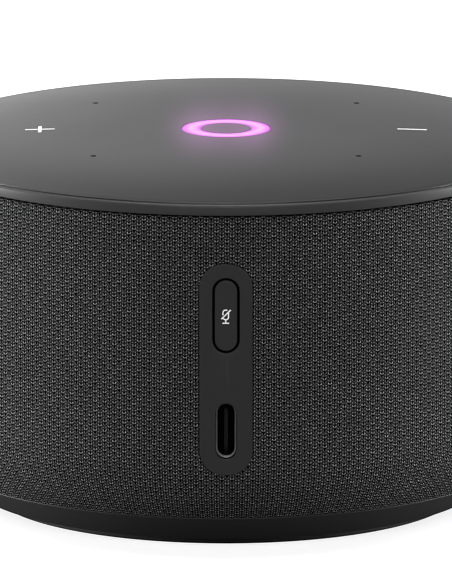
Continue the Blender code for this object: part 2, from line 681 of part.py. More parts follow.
def add_cone():
    cone = [
        (CONE_NECK_RADIUS, CONE_NECK_Z),
        (CONE_NECK_RADIUS + 0.6, CONE_NECK_Z),
        (CONE_EDGE_RADIUS - 1.1, CONE_EDGE_TOP - 0.5),
        (CONE_EDGE_RADIUS, CONE_EDGE_TOP - 0.5),
        (CONE_EDGE_RADIUS, CONE_EDGE_TOP),
        (CONE_EDGE_RADIUS - 1.4, CONE_EDGE_TOP),
        (CONE_NECK_RADIUS, CONE_NECK_Z + 0.8),
    ]
    add_piece("speaker_cone", turned(cone, INNER_FACETS), "paper", parent=cone_slide)
    cap_rise = [(0, 0), (4, -0.35), (7.5, -1.25), (10.4, -2.5)]
    cap_top = 39.6
    cap = [(r, cap_top + z) for r, z in cap_rise]
    cap += [(r * 0.97, cap_top - 0.4 + z) for r, z in reversed(cap_rise)]
    add_piece("dust_cap", turned(cap, 20), "paper", parent=cone_slide)
    coil = [(COIL_INNER, 24.5), (COIL_INNER, 36.0), (COIL_OUTER, 36.0), (COIL_OUTER, 31.0)]
    coil += [(COIL_OUTER + 0.25, 31.0), (COIL_OUTER + 0.25, 24.5)]
    add_piece("voice_coil", turned(coil, 24), "copper", parent=cone_slide)


def add_suspension():
    """The half-roll round the cone's edge and the waved disc at its neck. Both stretch as it moves."""
    lip = CONE_EDGE_TOP + 0.4
    steps = 4
    roll = [math.pi * step / steps for step in range(steps + 1)]
    upper = [
        (
            SURROUND_ROLL_AT + SURROUND_ROLL_RADIUS * math.cos(angle),
            lip + SURROUND_WALL + (SURROUND_ROLL_RADIUS - SURROUND_WALL) * math.sin(angle),
        )
        for angle in roll
    ]
    lower_radius = SURROUND_ROLL_RADIUS - SURROUND_WALL
    lower = [
        (
            SURROUND_ROLL_AT + lower_radius * math.cos(angle),
            lip + (lower_radius - 0.1) * math.sin(angle),
        )
        for angle in reversed(roll)
    ]
    profile = [(30.2, lip), (30.2, lip + SURROUND_WALL)] + upper
    profile += [(21.2, lip + SURROUND_WALL), (21.2, lip)] + lower
    add_piece("cone_surround", turned(profile, 24), "rubber")
    waves = [(8.7, 33.4), (10.2, 33.9), (11.8, 32.9), (13.4, 33.9), (15.0, 33.2), (17.6, 33.2)]
    spider = waves + [(r, z + 0.3) for r, z in reversed(waves)]
    add_piece("cone_spider", turned(spider, 20), "foam")


clear_scene()
materials = make_materials()
housing = add_empty("housing_origin")
button_slide = add_empty("button_slide", (0, -BODY_RADIUS, BUTTON_Z))
cone_slide = add_empty("cone_slide", (0, 0, CONE_EDGE_TOP))

add_top_cover()
add_light_ring()
add_rim_ring()
add_fabric_sleeve()
add_grille_frame()
add_rear_panel()
add_mute_button()
add_switch()
add_usb_inlet()
add_io_board()
add_base_housing()
add_rubber_foot()
add_screws("base_screw", corners(BASE_SCREW_CIRCLE), BASE_SCREW_HEAD_Z, BASE_SCREW_TIP_Z, BASE_SCREW_RADIUS)
add_screws("top_screw", corners(TOP_SCREW_CIRCLE, 0), TOP_SCREW_HEAD_Z, TOP_SCREW_TIP_Z, TOP_SCREW_RADIUS)
add_main_board()
add_touch_board()
add_light_guide()
add_acoustic_chamber()
add_sound_diffuser()
add_speaker_cable()
add_driver_motor()
add_cone()
add_suspension()
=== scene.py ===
"""Looks of the round smart speaker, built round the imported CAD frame.

Sizes are in millimetres here, as in the CAD source, and each mesh is scaled to metres as it is
made. +Z is up, the origin is on the table under the middle of the body, and the rear strip
faces -Y.
"""

import json
import math

import bmesh
import bpy
from mathutils import Matrix, Vector
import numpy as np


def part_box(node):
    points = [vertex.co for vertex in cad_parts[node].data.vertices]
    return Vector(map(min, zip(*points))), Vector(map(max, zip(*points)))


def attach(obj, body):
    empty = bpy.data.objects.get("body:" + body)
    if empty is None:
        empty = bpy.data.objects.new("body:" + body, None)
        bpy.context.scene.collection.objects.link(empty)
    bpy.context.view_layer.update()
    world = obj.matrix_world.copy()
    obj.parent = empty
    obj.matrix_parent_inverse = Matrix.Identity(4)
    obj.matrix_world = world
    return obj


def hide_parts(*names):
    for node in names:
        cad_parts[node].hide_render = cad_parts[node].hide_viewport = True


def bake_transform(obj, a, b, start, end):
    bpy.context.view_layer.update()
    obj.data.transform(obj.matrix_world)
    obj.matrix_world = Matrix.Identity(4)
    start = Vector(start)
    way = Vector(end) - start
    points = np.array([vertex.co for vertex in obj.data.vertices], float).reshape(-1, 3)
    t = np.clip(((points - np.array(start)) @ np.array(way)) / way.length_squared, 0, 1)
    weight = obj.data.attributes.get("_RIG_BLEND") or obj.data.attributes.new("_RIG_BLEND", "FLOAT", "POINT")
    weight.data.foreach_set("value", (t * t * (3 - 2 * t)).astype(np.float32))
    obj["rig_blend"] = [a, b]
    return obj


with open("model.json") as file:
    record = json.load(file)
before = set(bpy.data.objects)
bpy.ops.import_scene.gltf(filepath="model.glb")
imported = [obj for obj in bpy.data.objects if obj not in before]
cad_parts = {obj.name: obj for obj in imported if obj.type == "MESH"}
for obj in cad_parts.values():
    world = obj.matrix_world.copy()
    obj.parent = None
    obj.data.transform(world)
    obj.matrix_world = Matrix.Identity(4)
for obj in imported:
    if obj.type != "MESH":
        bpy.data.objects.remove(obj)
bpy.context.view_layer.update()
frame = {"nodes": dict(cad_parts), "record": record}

MM = 0.001


def box_mm(node):
    """A CAD node's lowest and highest corners, in millimetres."""
    low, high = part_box(node)
    return low / MM, high / MM


# Body, from the frame
BODY_RADIUS = box_mm("rim_ring")[1].x
SKIRT_BOTTOM, RIM_TOP = box_mm("rim_ring")[0].z, box_mm("rim_ring")[1].z
CROWN_TOP = box_mm("light_ring_core")[1].z
COVER_RADIUS = box_mm("top_cover")[1].x
COVER_SEAT = box_mm("top_cover")[0].z
SLEEVE_RADIUS = box_mm("fabric_sleeve")[1].x
SLEEVE_TOP = box_mm("fabric_sleeve")[1].z
FOOT_OUTER = box_mm("rubber_foot")[1].x
FOOT_TOP = box_mm("rubber_foot")[1].z
BUTTON_LOW, BUTTON_HIGH = box_mm("mute_button")
SHELL_LOW, SHELL_HIGH = box_mm("usb_shell")

# Domed cover, rim and light ring
CROWN_RISE = CROWN_TOP - RIM_TOP
CROWN_POWER = 4.3
COVER_WALL = 1.6
COVER_EDGE, COVER_LEDGE, COVER_HOLLOW = 0.12, 45.6, 44
RIM_INNER = 50.35
RIM_BOTTOM, RIM_WEB, RIM_EDGE = 56.25, 0.6, 0.42
SKIRT_OUTER, SKIRT_INNER = 47.4, 46.2
MIC_OFFSET = 21.2
MIC_HOLE_RADIUS = 0.45
RING_OUTER, RING_INNER, RING_GAP = 7.1, 4.1, 0.04
RING_MIDDLE = (RING_OUTER + RING_INNER) / 2
RING_EDGE, RING_SINK = 0.06, 0.02
LENS_FLANGE_RADIUS, LENS_BORE_RADIUS = 9.0, 3.0
LENS_BOTTOM, LENS_FLANGE_TOP = 57.2, 58.05

# Ink, as the plus and minus marks and as the symbol on the mute key
MARK_LENGTH, MARK_WIDTH, MARK_OFFSET = 4.75, 0.55, 30
INK_HEIGHT = 0.012
INK_LINE = 0.21

# Sleeve
SLEEVE_WALL = 0.9
BEND_RADIUS, BEND_Z, BEND_END = 14.4, 16.4, math.radians(45)
BEND_CENTRE = SLEEVE_RADIUS - BEND_RADIUS
WALES_ROUND = 384
REPEAT = 1.5775  # one repeat of the knit, down the sleeve
COURSE_STEP = 2.0  # between two rings of the sleeve's mesh

# Rear strip
STRIP_WIDTH, STRIP_HEIGHT, STRIP_CORNER, STRIP_Z = 8.4, 34.2, 3.85, 31.3
STRIP_FLANGE_WIDTH, STRIP_FLANGE_HEIGHT = 14.4, 36.6
STRIP_FLANGE_FRONT, STRIP_FLANGE_BACK = -46.6, -45.6
STRIP_LIP_BACK = -48.5
BUTTON_WIDTH, BUTTON_HEIGHT, BUTTON_GAP = 3.55, 11.4, 0.4
BUTTON_Z = (BUTTON_LOW.z + BUTTON_HIGH.z) / 2
KEY_POCKET, KEY_FLANGE, KEY_POST = (6.0, 13.8), (5.2, 13.0), (2.4, 2.42)
FACE_FRONT = 0.02 - BODY_RADIUS  # just inside the body's cylinder, to leave room for the print
SLOT_CUT_FRONT, CUT_BACK = -50, -40

# USB-C inlet
INLET_Z = (SHELL_LOW.z + SHELL_HIGH.z) / 2
INLET_WIDTH, INLET_HEIGHT = SHELL_HIGH.x - SHELL_LOW.x, SHELL_HIGH.z - SHELL_LOW.z
INLET_WALL, INLET_FLOOR = 0.26, -45.4
LIP_DEPTH = 0.4
SATIN_END = SHELL_LOW.y + 0.7  # where the lip's satin finish stops
TONGUE_WIDTH, TONGUE_HEIGHT = 0.6, 6.3
CONTACTS, CONTACT_PITCH = 12, 0.5
INLET_GAP, SLOT_CHAMFER = 0.05, 0.12

# Base
BASE_EDGE_RADIUS, BASE_BOTTOM, BASE_FLOOR_TOP = 41.1, 1.5, 3.7
FOOT_INNER, FIT_GAP = 30.0, 0.3
BASE_SCREW_CIRCLE = 24.0
BOSS_RADIUS, BOSS_TOP = 4.2, 9.7
HEAD_POCKET_RADIUS, HEAD_POCKET_TOP = 2.9, 4.1
PILOT_RADIUS, PILOT_BOTTOM, PILOT_TOP = 1.3, 3, 11

# Loudspeaker's suspension
ROLL_MIDDLE, ROLL_RADIUS, ROLL_WALL, ROLL_INNER = 25.4, 2.6, 0.5, 21.2
SPIDER_INNER, SPIDER_FLAT, SPIDER_Z = 8.7, 15.2, 33.3
SPIDER_WAVES, SPIDER_SWING, SPIDER_THICKNESS = 2.5, 0.4, 0.3

FINE = 256  # facets round the body
SHARP_FROM = math.radians(30)  # edges at more than this angle look sharp


# --- meshes ------------------------------------------------------------------------------------


def add_object(name, mesh, slot=None, body="housing", replaced=()):
    """Makes a piece of a mesh in millimetres, which stands for CAD nodes. It rides on a body, but with
    body=None the caller blends it between two. With no slot it is a tool or a part of the stage."""
    mesh.transform(Matrix.Scale(MM, 4))
    mesh.shade_smooth()
    mesh.set_sharp_from_angle(angle=SHARP_FROM)
    obj = bpy.data.objects.new(name, mesh)
    bpy.context.scene.collection.objects.link(obj)
    if slot:
        mesh.materials.append(materials[slot])
        if body:
            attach(obj, body)
        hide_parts(*replaced)
    return obj


def mesh_of(name, bm):
    bmesh.ops.recalc_face_normals(bm, faces=bm.faces)
    mesh = bpy.data.meshes.new(name)
    bm.to_mesh(mesh)
    bm.free()
    return mesh


def turned(name, profile, facets=FINE, at=(0, 0)):
    """A profile of (radius, z) points, turned round an upright axis, and closed where it meets it."""
    bm = bmesh.new()
    rows = []
    for radius, z in profile:
        turns = facets if radius > 0 else 1
        angles = [math.tau * step / turns for step in range(turns)]
        places = [(at[0] + radius * math.cos(a), at[1] + radius * math.sin(a), z) for a in angles]
        rows.append([bm.verts.new(place) for place in places])
    loop = len(rows) if profile[0][0] > 0 else len(rows) - 1
    for index in range(loop):
        upper, lower = rows[index], rows[(index + 1) % len(rows)]
        for step in range(facets):
            after = (step + 1) % facets
            cell = [upper[step % len(upper)], lower[step % len(lower)]]
            cell += [lower[after % len(lower)], upper[after % len(upper)]]
            bm.faces.new(list(dict.fromkeys(cell)))
    return mesh_of(name, bm)


def rounded(points, steps):
    """An outline of (x, y, radius) corners, with each corner rounded to its radius."""
    made = []
    for index, (x, y, radius) in enumerate(points):
        here = Vector((x, y))
        if radius <= 0:
            made.append((x, y))
            continue
        before = (Vector(points[index - 1][:2]) - here).normalized()
        after = (Vector(points[(index + 1) % len(points)][:2]) - here).normalized()
        half = before.angle(after) / 2
        middle = here + (before + after).normalized() * radius / math.sin(half)
        first = here + before * radius / math.tan(half) - middle
        last = here + after * radius / math.tan(half) - middle
        swing = first.angle_signed(last)
        for step in range(steps + 1):
            turn = Matrix.Rotation(-swing * step / steps, 2)
            made.append(tuple(middle + turn @ first))
    return made


def rounded_rectangle(width, height, corner, steps=12):
    x, z = width / 2, height / 2
    return rounded([(x, z, corner), (-x, z, corner), (-x, -z, corner), (x, -z, corner)], steps)


def stadium(width, height, steps=12):
    return rounded_rectangle(width, height, width / 2 - 0.001, steps)


def moved(outline, x, z):
    return [(px + x, pz + z) for px, pz in outline]


def plate(name, outlines, front, back, edge, wrap=None, cuts=0):
    """A plate in the XZ plane between two values of y, with rounded edges and with holes for the
    second and later outlines. With wrap, its front is bent round the body at that radius."""
    curve = bpy.data.curves.new(name, "CURVE")
    curve.dimensions = "2D"
    curve.fill_mode = "BOTH"
    curve.extrude = (back - front) / 2 - edge
    curve.bevel_depth = edge
    curve.bevel_resolution = 3
    curve.offset = -edge
    for outline in outlines:
        spline = curve.splines.new("POLY")
        spline.use_cyclic_u = True
        spline.points.add(len(outline) - 1)
        for point, (x, z) in zip(spline.points, outline):
            point.co = (x, z, 0, 1)
    holder = bpy.data.objects.new(name, curve)
    bpy.context.scene.collection.objects.link(holder)
    mesh = bpy.data.meshes.new_from_object(holder.evaluated_get(bpy.context.evaluated_depsgraph_get()))
    bpy.data.objects.remove(holder)
    bpy.data.curves.remove(curve)
    upright = Matrix.Rotation(math.radians(90), 4, "X")
    mesh.transform(Matrix.Translation((0, (front + back) / 2, 0)) @ upright)
    bm = bmesh.new()
    bm.from_mesh(mesh)
    bpy.data.meshes.remove(mesh)
    bmesh.ops.remove_doubles(bm, verts=bm.verts, dist=1e-4)
    half_width = max(abs(x) for x, _ in outlines[0])
    for cut in range(1, cuts):
        plane = half_width * (2 * cut / cuts - 1)
        parts = bm.verts[:] + bm.edges[:] + bm.faces[:]
        bmesh.ops.bisect_plane(bm, geom=parts, dist=1e-5, plane_co=(plane, 0, 0), plane_no=(1, 0, 0))
    if wrap:
        for vert in bm.verts:
            vert.co.y += wrap - math.sqrt(wrap * wrap - vert.co.x**2)
    return mesh_of(name, bm)


def lofted(name, rows, closed=False):
    """A surface through outlines of (x, z) points at values of y, closed on itself or at both ends."""
    bm = bmesh.new()
    rings = [[bm.verts.new((x, y, z)) for x, z in outline] for outline, y in rows]
    for first, second in zip(rings, rings[1:] + rings[:closed]):
        for index in range(len(first)):
            after = (index + 1) % len(first)
            bm.faces.new([first[index], first[after], second[after], second[index]])
    if not closed:
        bm.faces.new(rings[0])
        bm.faces.new(rings[-1])
    return mesh_of(name, bm)


def apply_modifiers(obj):
    """Puts what the modifiers make into the mesh."""
    graph = bpy.context.evaluated_depsgraph_get()
    made = bpy.data.meshes.new_from_object(obj.evaluated_get(graph))
    obj.modifiers.clear()
    old, obj.data = obj.data, made
    bpy.data.meshes.remove(old)
    made.set_sharp_from_angle(angle=SHARP_FROM)


def combine(obj, operation, meshes):
    """Cuts or joins plain solids, given as meshes in millimetres."""
    tools = []
    for mesh in meshes:
        tools.append(add_object("tool", mesh))
        modifier = obj.modifiers.new("tool", "BOOLEAN")
        modifier.operation = operation
        modifier.solver = "EXACT"
        modifier.object = tools[-1]
    apply_modifiers(obj)
    for tool in tools:
        bpy.data.objects.remove(tool)


def joined(name, meshes):
    """One mesh of several."""
    bm = bmesh.new()
    for mesh in meshes:
        bm.from_mesh(mesh)
        bpy.data.meshes.remove(mesh)
    return mesh_of(name, bm)


def corners(radius):
    """The four points at this radius on the diagonals."""
    angles = [math.radians(45 + 90 * quarter) for quarter in range(4)]
    return [(radius * math.cos(angle), radius * math.sin(angle)) for angle in angles]


def disc(radius, bottom, top, at=(0, 0), facets=32):
    return turned("disc", [(0, bottom), (radius, bottom), (radius, top), (0, top)], facets, at)


# --- materials ---------------------------------------------------------------------------------


class Value:
    """A number that varies over a surface, and the sums that make it, as nodes of one material."""

    def __init__(self, shade, socket):
        self.shade, self.socket = shade, socket

    def do(self, operation, *others):
        return self.shade.math(operation, self, *others)

    def __add__(self, other):
        return self.do("ADD", other)

    def __sub__(self, other):
        return self.do("SUBTRACT", other)

    def __rsub__(self, other):
        return self.shade.math("SUBTRACT", other, self)

    def __neg__(self):
        return 0 - self

    def __mul__(self, other):
        return self.do("MULTIPLY", other)

    def __truediv__(self, other):
        return self.do("DIVIDE", other)

    __radd__, __rmul__ = __add__, __mul__

    def abs(self):
        return self.do("ABSOLUTE")

    def floor(self):
        return self.do("FLOOR")

    def fract(self):
        return self.do("FRACT")

    def above_zero(self):
        return self.do("MAXIMUM", 0.0)

    def bump(self, middle, width):
        """1 where this is middle, falling smoothly to 0 at width away."""
        off = (self - middle) / width
        return (1 - off * off).above_zero()

    def rise(self, low, high):
        """0 up to low, 1 from high, and smooth between."""
        return self.shade.map_range(self, low, high)


class Shade:
    """A material with a Principled shader, and short calls for the nodes that the recipes use."""

    def __init__(self, name, roughness=0.5, specular=0.5, metallic=0.0):
        self.material = bpy.data.materials.new(name)
        self.material.use_nodes = True
        self.tree = self.material.node_tree
        self.shader = self.tree.nodes["Principled BSDF"]
        self.set("Roughness", roughness)
        self.set("Specular IOR Level", specular)
        self.set("Metallic", metallic)

    def node(self, kind, **settings):
        made = self.tree.nodes.new("ShaderNode" + kind)
        for key, value in settings.items():
            setattr(made, key, value)
        return made

    def feed(self, socket, value):
        if isinstance(value, Value):
            self.tree.links.new(value.socket, socket)
        elif isinstance(value, bpy.types.NodeSocket):
            self.tree.links.new(value, socket)
        else:
            socket.default_value = value

    def set(self, name, value):
        self.feed(self.shader.inputs[name], value)

    def math(self, operation, *values):
        made = self.node("Math", operation=operation)
        for socket, value in zip(made.inputs, values):
            self.feed(socket, value)
        return Value(self, made.outputs[0])

    def map_range(self, value, low, high):
        made = self.node("MapRange", interpolation_type="SMOOTHSTEP")
        for name, given in (("Value", value), ("From Min", low), ("From Max", high)):
            self.feed(made.inputs[name], given)
        return Value(self, made.outputs["Result"])

    def place(self):
        """The point on the object, in millimetres, as x, y and z."""
        coordinates = self.node("TexCoord")
        scaled = self.node("VectorMath", operation="SCALE")
        self.feed(scaled.inputs[0], coordinates.outputs["Object"])
        self.feed(scaled.inputs["Scale"], 1 / MM)
        apart = self.node("SeparateXYZ")
        self.feed(apart.inputs[0], scaled.outputs[0])
        return [Value(self, socket) for socket in apart.outputs]

    def noise(self, size, detail=3.0, stretch=(1, 1, 1)):
        """Noise from 0 to 1 with features of about this size in millimetres."""
        coordinates = self.node("TexCoord")
        scaled = self.node("VectorMath", operation="MULTIPLY")
        self.feed(scaled.inputs[0], coordinates.outputs["Object"])
        self.feed(scaled.inputs[1], [s / (MM * size) for s in stretch])
        made = self.node("TexNoise")
        self.feed(made.inputs["Vector"], scaled.outputs[0])
        self.feed(made.inputs["Scale"], 1.0)
        self.feed(made.inputs["Detail"], detail)
        return Value(self, made.outputs[0])

    def cells(self, size):
        """Distance from the middle of Voronoi cells of about this size in millimetres."""
        coordinates = self.node("TexCoord")
        made = self.node("TexVoronoi")
        self.feed(made.inputs["Vector"], coordinates.outputs["Object"])
        self.feed(made.inputs["Scale"], 1 / (MM * size))
        return Value(self, made.outputs["Distance"])

    def blend(self, amount, first, second):
        """A colour between two colours, by a Value."""
        made = self.node("Mix", data_type="RGBA")
        self.feed(made.inputs["Factor"], amount)
        for name, colour in (("A", first), ("B", second)):
            given = isinstance(colour, bpy.types.NodeSocket)
            self.feed(made.inputs[name], colour if given else (*colour, 1))
        return next(s for s in made.outputs if s.type == "RGBA")

    def scatter(self, first, second):
        """Three numbers from 0 to 1, the same all over one cell, which differ from cell to cell."""
        joined = self.node("CombineXYZ")
        self.feed(joined.inputs[0], first)
        self.feed(joined.inputs[1], second)
        chance = self.node("TexWhiteNoise", noise_dimensions="2D")
        self.feed(chance.inputs["Vector"], joined.outputs[0])
        apart = self.node("SeparateColor")
        self.feed(apart.inputs[0], chance.outputs["Color"])
        return [Value(self, socket) for socket in apart.outputs]

    def relief(self, height, depth):
        """Bump from a height of 0 to 1, which stands for this depth in millimetres."""
        made = self.node("Bump")
        self.feed(made.inputs["Strength"], 1.0)
        self.feed(made.inputs["Distance"], depth * MM)
        self.feed(made.inputs["Height"], height)
        self.set("Normal", made.outputs[0])


def grey(level):
    return (level, level, level * 1.01)


def length(first, second):
    """The length of two sides at a right angle, as a Value."""
    return (first * first + second * second).do("SQRT")


TOP_LEVEL, TOP_ROUGHNESS, TOP_SPECULAR = 0.045, 0.38, 0.5
RING_HEART = (1.0, 0.45, 1.0)
RING_OUTER_EDGE = (0.76, 0.14, 0.95)
RING_INNER_EDGE = (0.55, 0.14, 0.60)
# painted glow: emission on the cover plastic, fading out from the lit ring
GLOW_COLOUR, GLOW_STRENGTH, GLOW_FADE = (1.0, 0.12, 1.0), 0.02, 1.2
# painted shade: the groove round the ring, the microphone holes and the cover's outer edge are darkened in
# colour
GROOVE_WIDTH = 0.22  # of the dark line round the ring
EDGE_SHADE = 0.35  # how much darker the cover's outer edge is
# the knit's tones: dark for the painted shade in its holes, light for the painted highlights on its yarn
KNIT_DARK, KNIT_LIGHT = grey(0.0005), grey(0.60)
U_AT = 0.47  # where in the repeat the U's two lobes are
WALE_START, COURSE_START = 0.31, 0.04
# painted glow: the ink gives off a little light of its own, to look brighter
PRINT_LEVEL, PRINT_GLOW = 0.88, 0.22


def moulded(name, colour, roughness, specular=0.5, grain=0.25, depth=0.012, mottle=0.12):
    """Moulded plastic: a fine spark-eroded grain, with a slow drift in tone and gloss."""
    shade = Shade(name, roughness, specular)
    fine = shade.noise(grain, 2.0)
    slow = shade.noise(14.0, 2.0)
    dark = tuple(c * (1 - mottle) for c in colour)
    light = tuple(c * (1 + mottle) for c in colour)
    shade.base_colour = shade.blend(fine * 0.6 + slow * 0.4, dark, light)
    shade.set("Base Color", shade.base_colour)
    shade.set("Roughness", roughness - 0.05 + fine * 0.06 + slow * 0.04)
    shade.relief(fine, depth)
    return shade


def top_plastic():
    """The cover's satin plastic. Just round the ring it has a painted glow, and it has painted shade,
    dark in the holes, in the groove round the ring and along its own outer edge."""
    shade = moulded("top_plastic", grey(TOP_LEVEL), TOP_ROUGHNESS, TOP_SPECULAR, 0.22, 0.006, 0.08)
    x, y, _ = shade.place()
    radius = length(x, y)
    away = (radius - RING_MIDDLE).abs() - (RING_OUTER - RING_INNER) / 2
    # painted glow round the ring, drawn as emission on the cover
    glow = (away / -GLOW_FADE).do("EXPONENT")
    shade.set("Emission Color", (*GLOW_COLOUR, 1))
    shade.set("Emission Strength", glow * GLOW_STRENGTH)
    # painted shade: black and without gloss in the microphone holes and the groove round the ring
    mic_x, mic_y = x.abs() - MIC_OFFSET, y.abs() - MIC_OFFSET
    from_mic = length(mic_x, mic_y) - MIC_HOLE_RADIUS
    outside = from_mic.rise(0.01, 0.05) * away.rise(0.02, GROOVE_WIDTH)
    # painted shade along the cover's outer edge, in the gap by the rim
    outside = outside * (1 - EDGE_SHADE * (radius - COVER_RADIUS).rise(-COVER_EDGE, -0.02))
    shade.set("Base Color", shade.blend(outside, (0, 0, 0), shade.base_colour))
    shade.set("Specular IOR Level", TOP_SPECULAR * outside)
    return shade


def strip_plastic():
    """The strip's and the key's satin plastic, with painted shade that makes it black down in the gaps."""
    shade = moulded("strip_plastic", grey(0.035), 0.50, 0.22, 0.2, 0.008, 0.1)
    x, y, _ = shade.place()
    # painted shade: black and rough below the strip's face, down in the gaps and slots
    face = 1 - (BODY_RADIUS - length(x, y)).rise(0.15, 0.6)
    shade.set("Base Color", shade.blend(face, grey(0.001), shade.base_colour))
    shade.set("Roughness", 0.95 - face * (0.50 - shade.noise(0.2, 2.0) * 0.06))
    return shade


def lens():
    """The lit ring: nearly white along its middle, and deep violet at its edges."""
    shade = Shade("lens", 0.6, 0.0)
    x, y, _ = shade.place()
    radius = length(x, y)
    across = (radius - RING_MIDDLE) / ((RING_OUTER - RING_INNER) / 2)
    outer = shade.blend(across.rise(0.15, 1.0), RING_HEART, RING_OUTER_EDGE)
    both = shade.blend((-across).rise(0.1, 1.0), outer, RING_INNER_EDGE)
    grain = shade.noise(0.5, 2.0)
    shade.set("Base Color", shade.blend(grain, (0.10, 0.03, 0.10), (0.14, 0.05, 0.14)))
    shade.set("Emission Color", both)
    shade.set("Emission Strength", 1.0)
    return shade


def knit():
    """Fine warp knit, drawn in colour and bump. Each wale repeats a bright U of yarn over a dark hole,
    a dim V, and a pair of short bright stitches, and each wale is half a repeat lower than the one
    beside it. The yarn's brightness is painted light and the holes' darkness is painted shade.
    Lengths here are parts of a wale across, and parts of a repeat down."""
    shade = Shade("knit", 0.8, 0.0)
    uv = shade.node("UVMap", uv_map="knit")
    apart = shade.node("SeparateXYZ")
    shade.feed(apart.inputs[0], uv.outputs[0])
    across, course = [Value(shade, socket) for socket in apart.outputs[:2]]
    wale = across + WALE_START
    column = wale.floor()
    line = course + column * 0.5 + COURSE_START
    chance = shade.scatter(column, line.floor())
    side = (wale - column - 0.5 + (chance[0] - 0.5) * 0.07).abs()
    down = line.fract() + (chance[1] - 0.5) * 0.04

    def below(middle):
        """How far down a point is from a place in the repeat, from -0.5 to 0.5."""
        return (down - middle + 1.5).fract() - 0.5

    # painted highlights: the U's lobes, legs and stitches are brighter, as lit yarn
    u_line = below(U_AT + 0.075) + side * side * 1.13
    u_band = u_line.bump(0.0, 0.057 + side * 0.12) * (1 - side.rise(0.32, 0.38))
    u_tone = u_band * (0.17 + 0.83 * side.rise(0.08, 0.34))
    leg_line = below(U_AT + 0.465) + side * 0.43
    legs = leg_line.bump(0.0, 0.11) * (1 - side.rise(0.35, 0.50))
    stitches = below(U_AT + 0.675).bump(0.0, 0.05) * side.bump(0.29, 0.15)
    # painted shade in the holes between the yarn
    upper_hole = below(U_AT - 0.085).bump(0.0, 0.08) * (1 - side.rise(0.01, 0.20))
    lower_hole = below(U_AT + 0.295).bump(0.0, 0.20) * (1 - side.rise(0.02, 0.23))
    border_hole = below(U_AT + 0.27).bump(0.0, 0.10) * side.rise(0.34, 0.50)
    yarn = u_tone.do("MAXIMUM", legs * 0.23).do("MAXIMUM", stitches * 0.68)
    holes = upper_hole.do("MAXIMUM", lower_hole).do("MAXIMUM", border_hole)
    fibre = shade.noise(0.1, 3.0)
    slow = shade.noise(9.0, 2.0)
    tone = (0.045 + yarn - 0.70 * holes).above_zero()
    tone = tone * (0.5 + fibre) * (0.88 + 0.24 * chance[2]) * (0.94 + 0.12 * slow)
    shade.set("Base Color", shade.blend(tone, KNIT_DARK, KNIT_LIGHT))
    shade.relief(u_band.do("MAXIMUM", legs).do("MAXIMUM", stitches), 0.06)
    return shade


def rubber():
    return moulded("rubber", grey(0.020), 0.78, 0.3, 0.35, 0.02, 0.2)


def board():
    """Green solder mask over copper tracks and pads."""
    shade = Shade("board", 0.42)
    x, y, _ = shade.place()
    along_y = (x * 0.8).fract().bump(0.5, 0.18) * shade.noise(6.0, 1.0).rise(0.45, 0.5)
    along_x = (y * 0.8).fract().bump(0.5, 0.18) * shade.noise(5.0, 1.0).rise(0.52, 0.57)
    tracks = along_y.do("MAXIMUM", along_x)
    colour = shade.blend(tracks, (0.006, 0.055, 0.028), (0.02, 0.13, 0.05))
    pads = shade.cells(2.6).bump(0.0, 0.2).rise(0.1, 0.3)
    shade.set("Base Color", shade.blend(pads, colour, (0.72, 0.52, 0.22)))
    shade.relief(tracks + pads, 0.04)
    return shade


def chip():
    """Black moulding compound. Down in the inlet's cup, but for its tongue, it has painted shade that makes
    it near black.
    """
    shade = moulded("chip", grey(0.016), 0.50, 0.03, 0.12, 0.006, 0.25)
    x, y, _ = shade.place()
    # painted shade: the cup of the inlet's insulator is near black, all but the tongue
    elsewhere = (y - INLET_FLOOR).rise(0.1, 0.2)
    tongue = 1 - (x.abs() - TONGUE_WIDTH / 2).rise(0.01, 0.02)
    unshaded = elsewhere.do("MAXIMUM", tongue)
    shade.set("Base Color", shade.blend(unshaded, grey(0.001), shade.base_colour))
    return shade


def socket():
    return moulded("socket", (0.70, 0.68, 0.60), 0.5, 0.5, 0.3, 0.01, 0.04)


def steel():
    """Nickel-plated steel with fine lines from forming. The inlet's lip has a satin finish."""
    shade = Shade("steel")
    lines = shade.noise(0.18, 3.0, (1, 0.06, 1))
    cloud = shade.noise(3.0, 2.0)
    _, y, _ = shade.place()
    satin = (-y).rise(-SATIN_END, 0.1 - SATIN_END)
    shade.set("Metallic", 1 - 0.3 * satin)
    shade.set("Base Color", shade.blend(cloud, (0.62, 0.62, 0.63), (0.74, 0.74, 0.75)))
    shade.set("Roughness", 0.22 + lines * 0.14 + satin * 0.08)
    shade.relief(lines, 0.004)
    return shade


def ferrite():
    return moulded("ferrite", grey(0.035), 0.55, 0.5, 0.4, 0.03, 0.3)


def copper():
    """Enamelled wire, wound in turns down the coil, with a painted highlight along each turn's middle and
    painted shade between turns.
    """
    shade = Shade("copper", 0.3, 0.5, 1.0)
    _, _, z = shade.place()
    # painted highlight along each turn's middle and painted shade where it meets the next
    turn = (z * 4.0).fract().bump(0.5, 0.5)
    shade.set("Base Color", shade.blend(turn, (0.35, 0.12, 0.04), (0.85, 0.40, 0.20)))
    shade.relief(turn, 0.1)
    return shade


def paper():
    """Pressed pulp with fibres in it."""
    shade = Shade("paper", 0.9, 0.2)
    fibres = shade.noise(0.5, 6.0, (1, 1, 0.4))
    shade.set("Base Color", shade.blend(fibres, (0.018, 0.018, 0.018), (0.048, 0.047, 0.045)))
    shade.relief(fibres, 0.08)
    return shade


def foam():
    shade = Shade("foam", 1.0, 0.1)
    # painted shade: each cell's middle, its pore, is darker than its walls
    cells = shade.cells(0.35)
    walls = cells.rise(0.2, 0.8)
    shade.set("Base Color", shade.blend(walls, (0.008, 0.008, 0.009), (0.05, 0.05, 0.052)))
    shade.relief(cells, 0.15)
    return shade


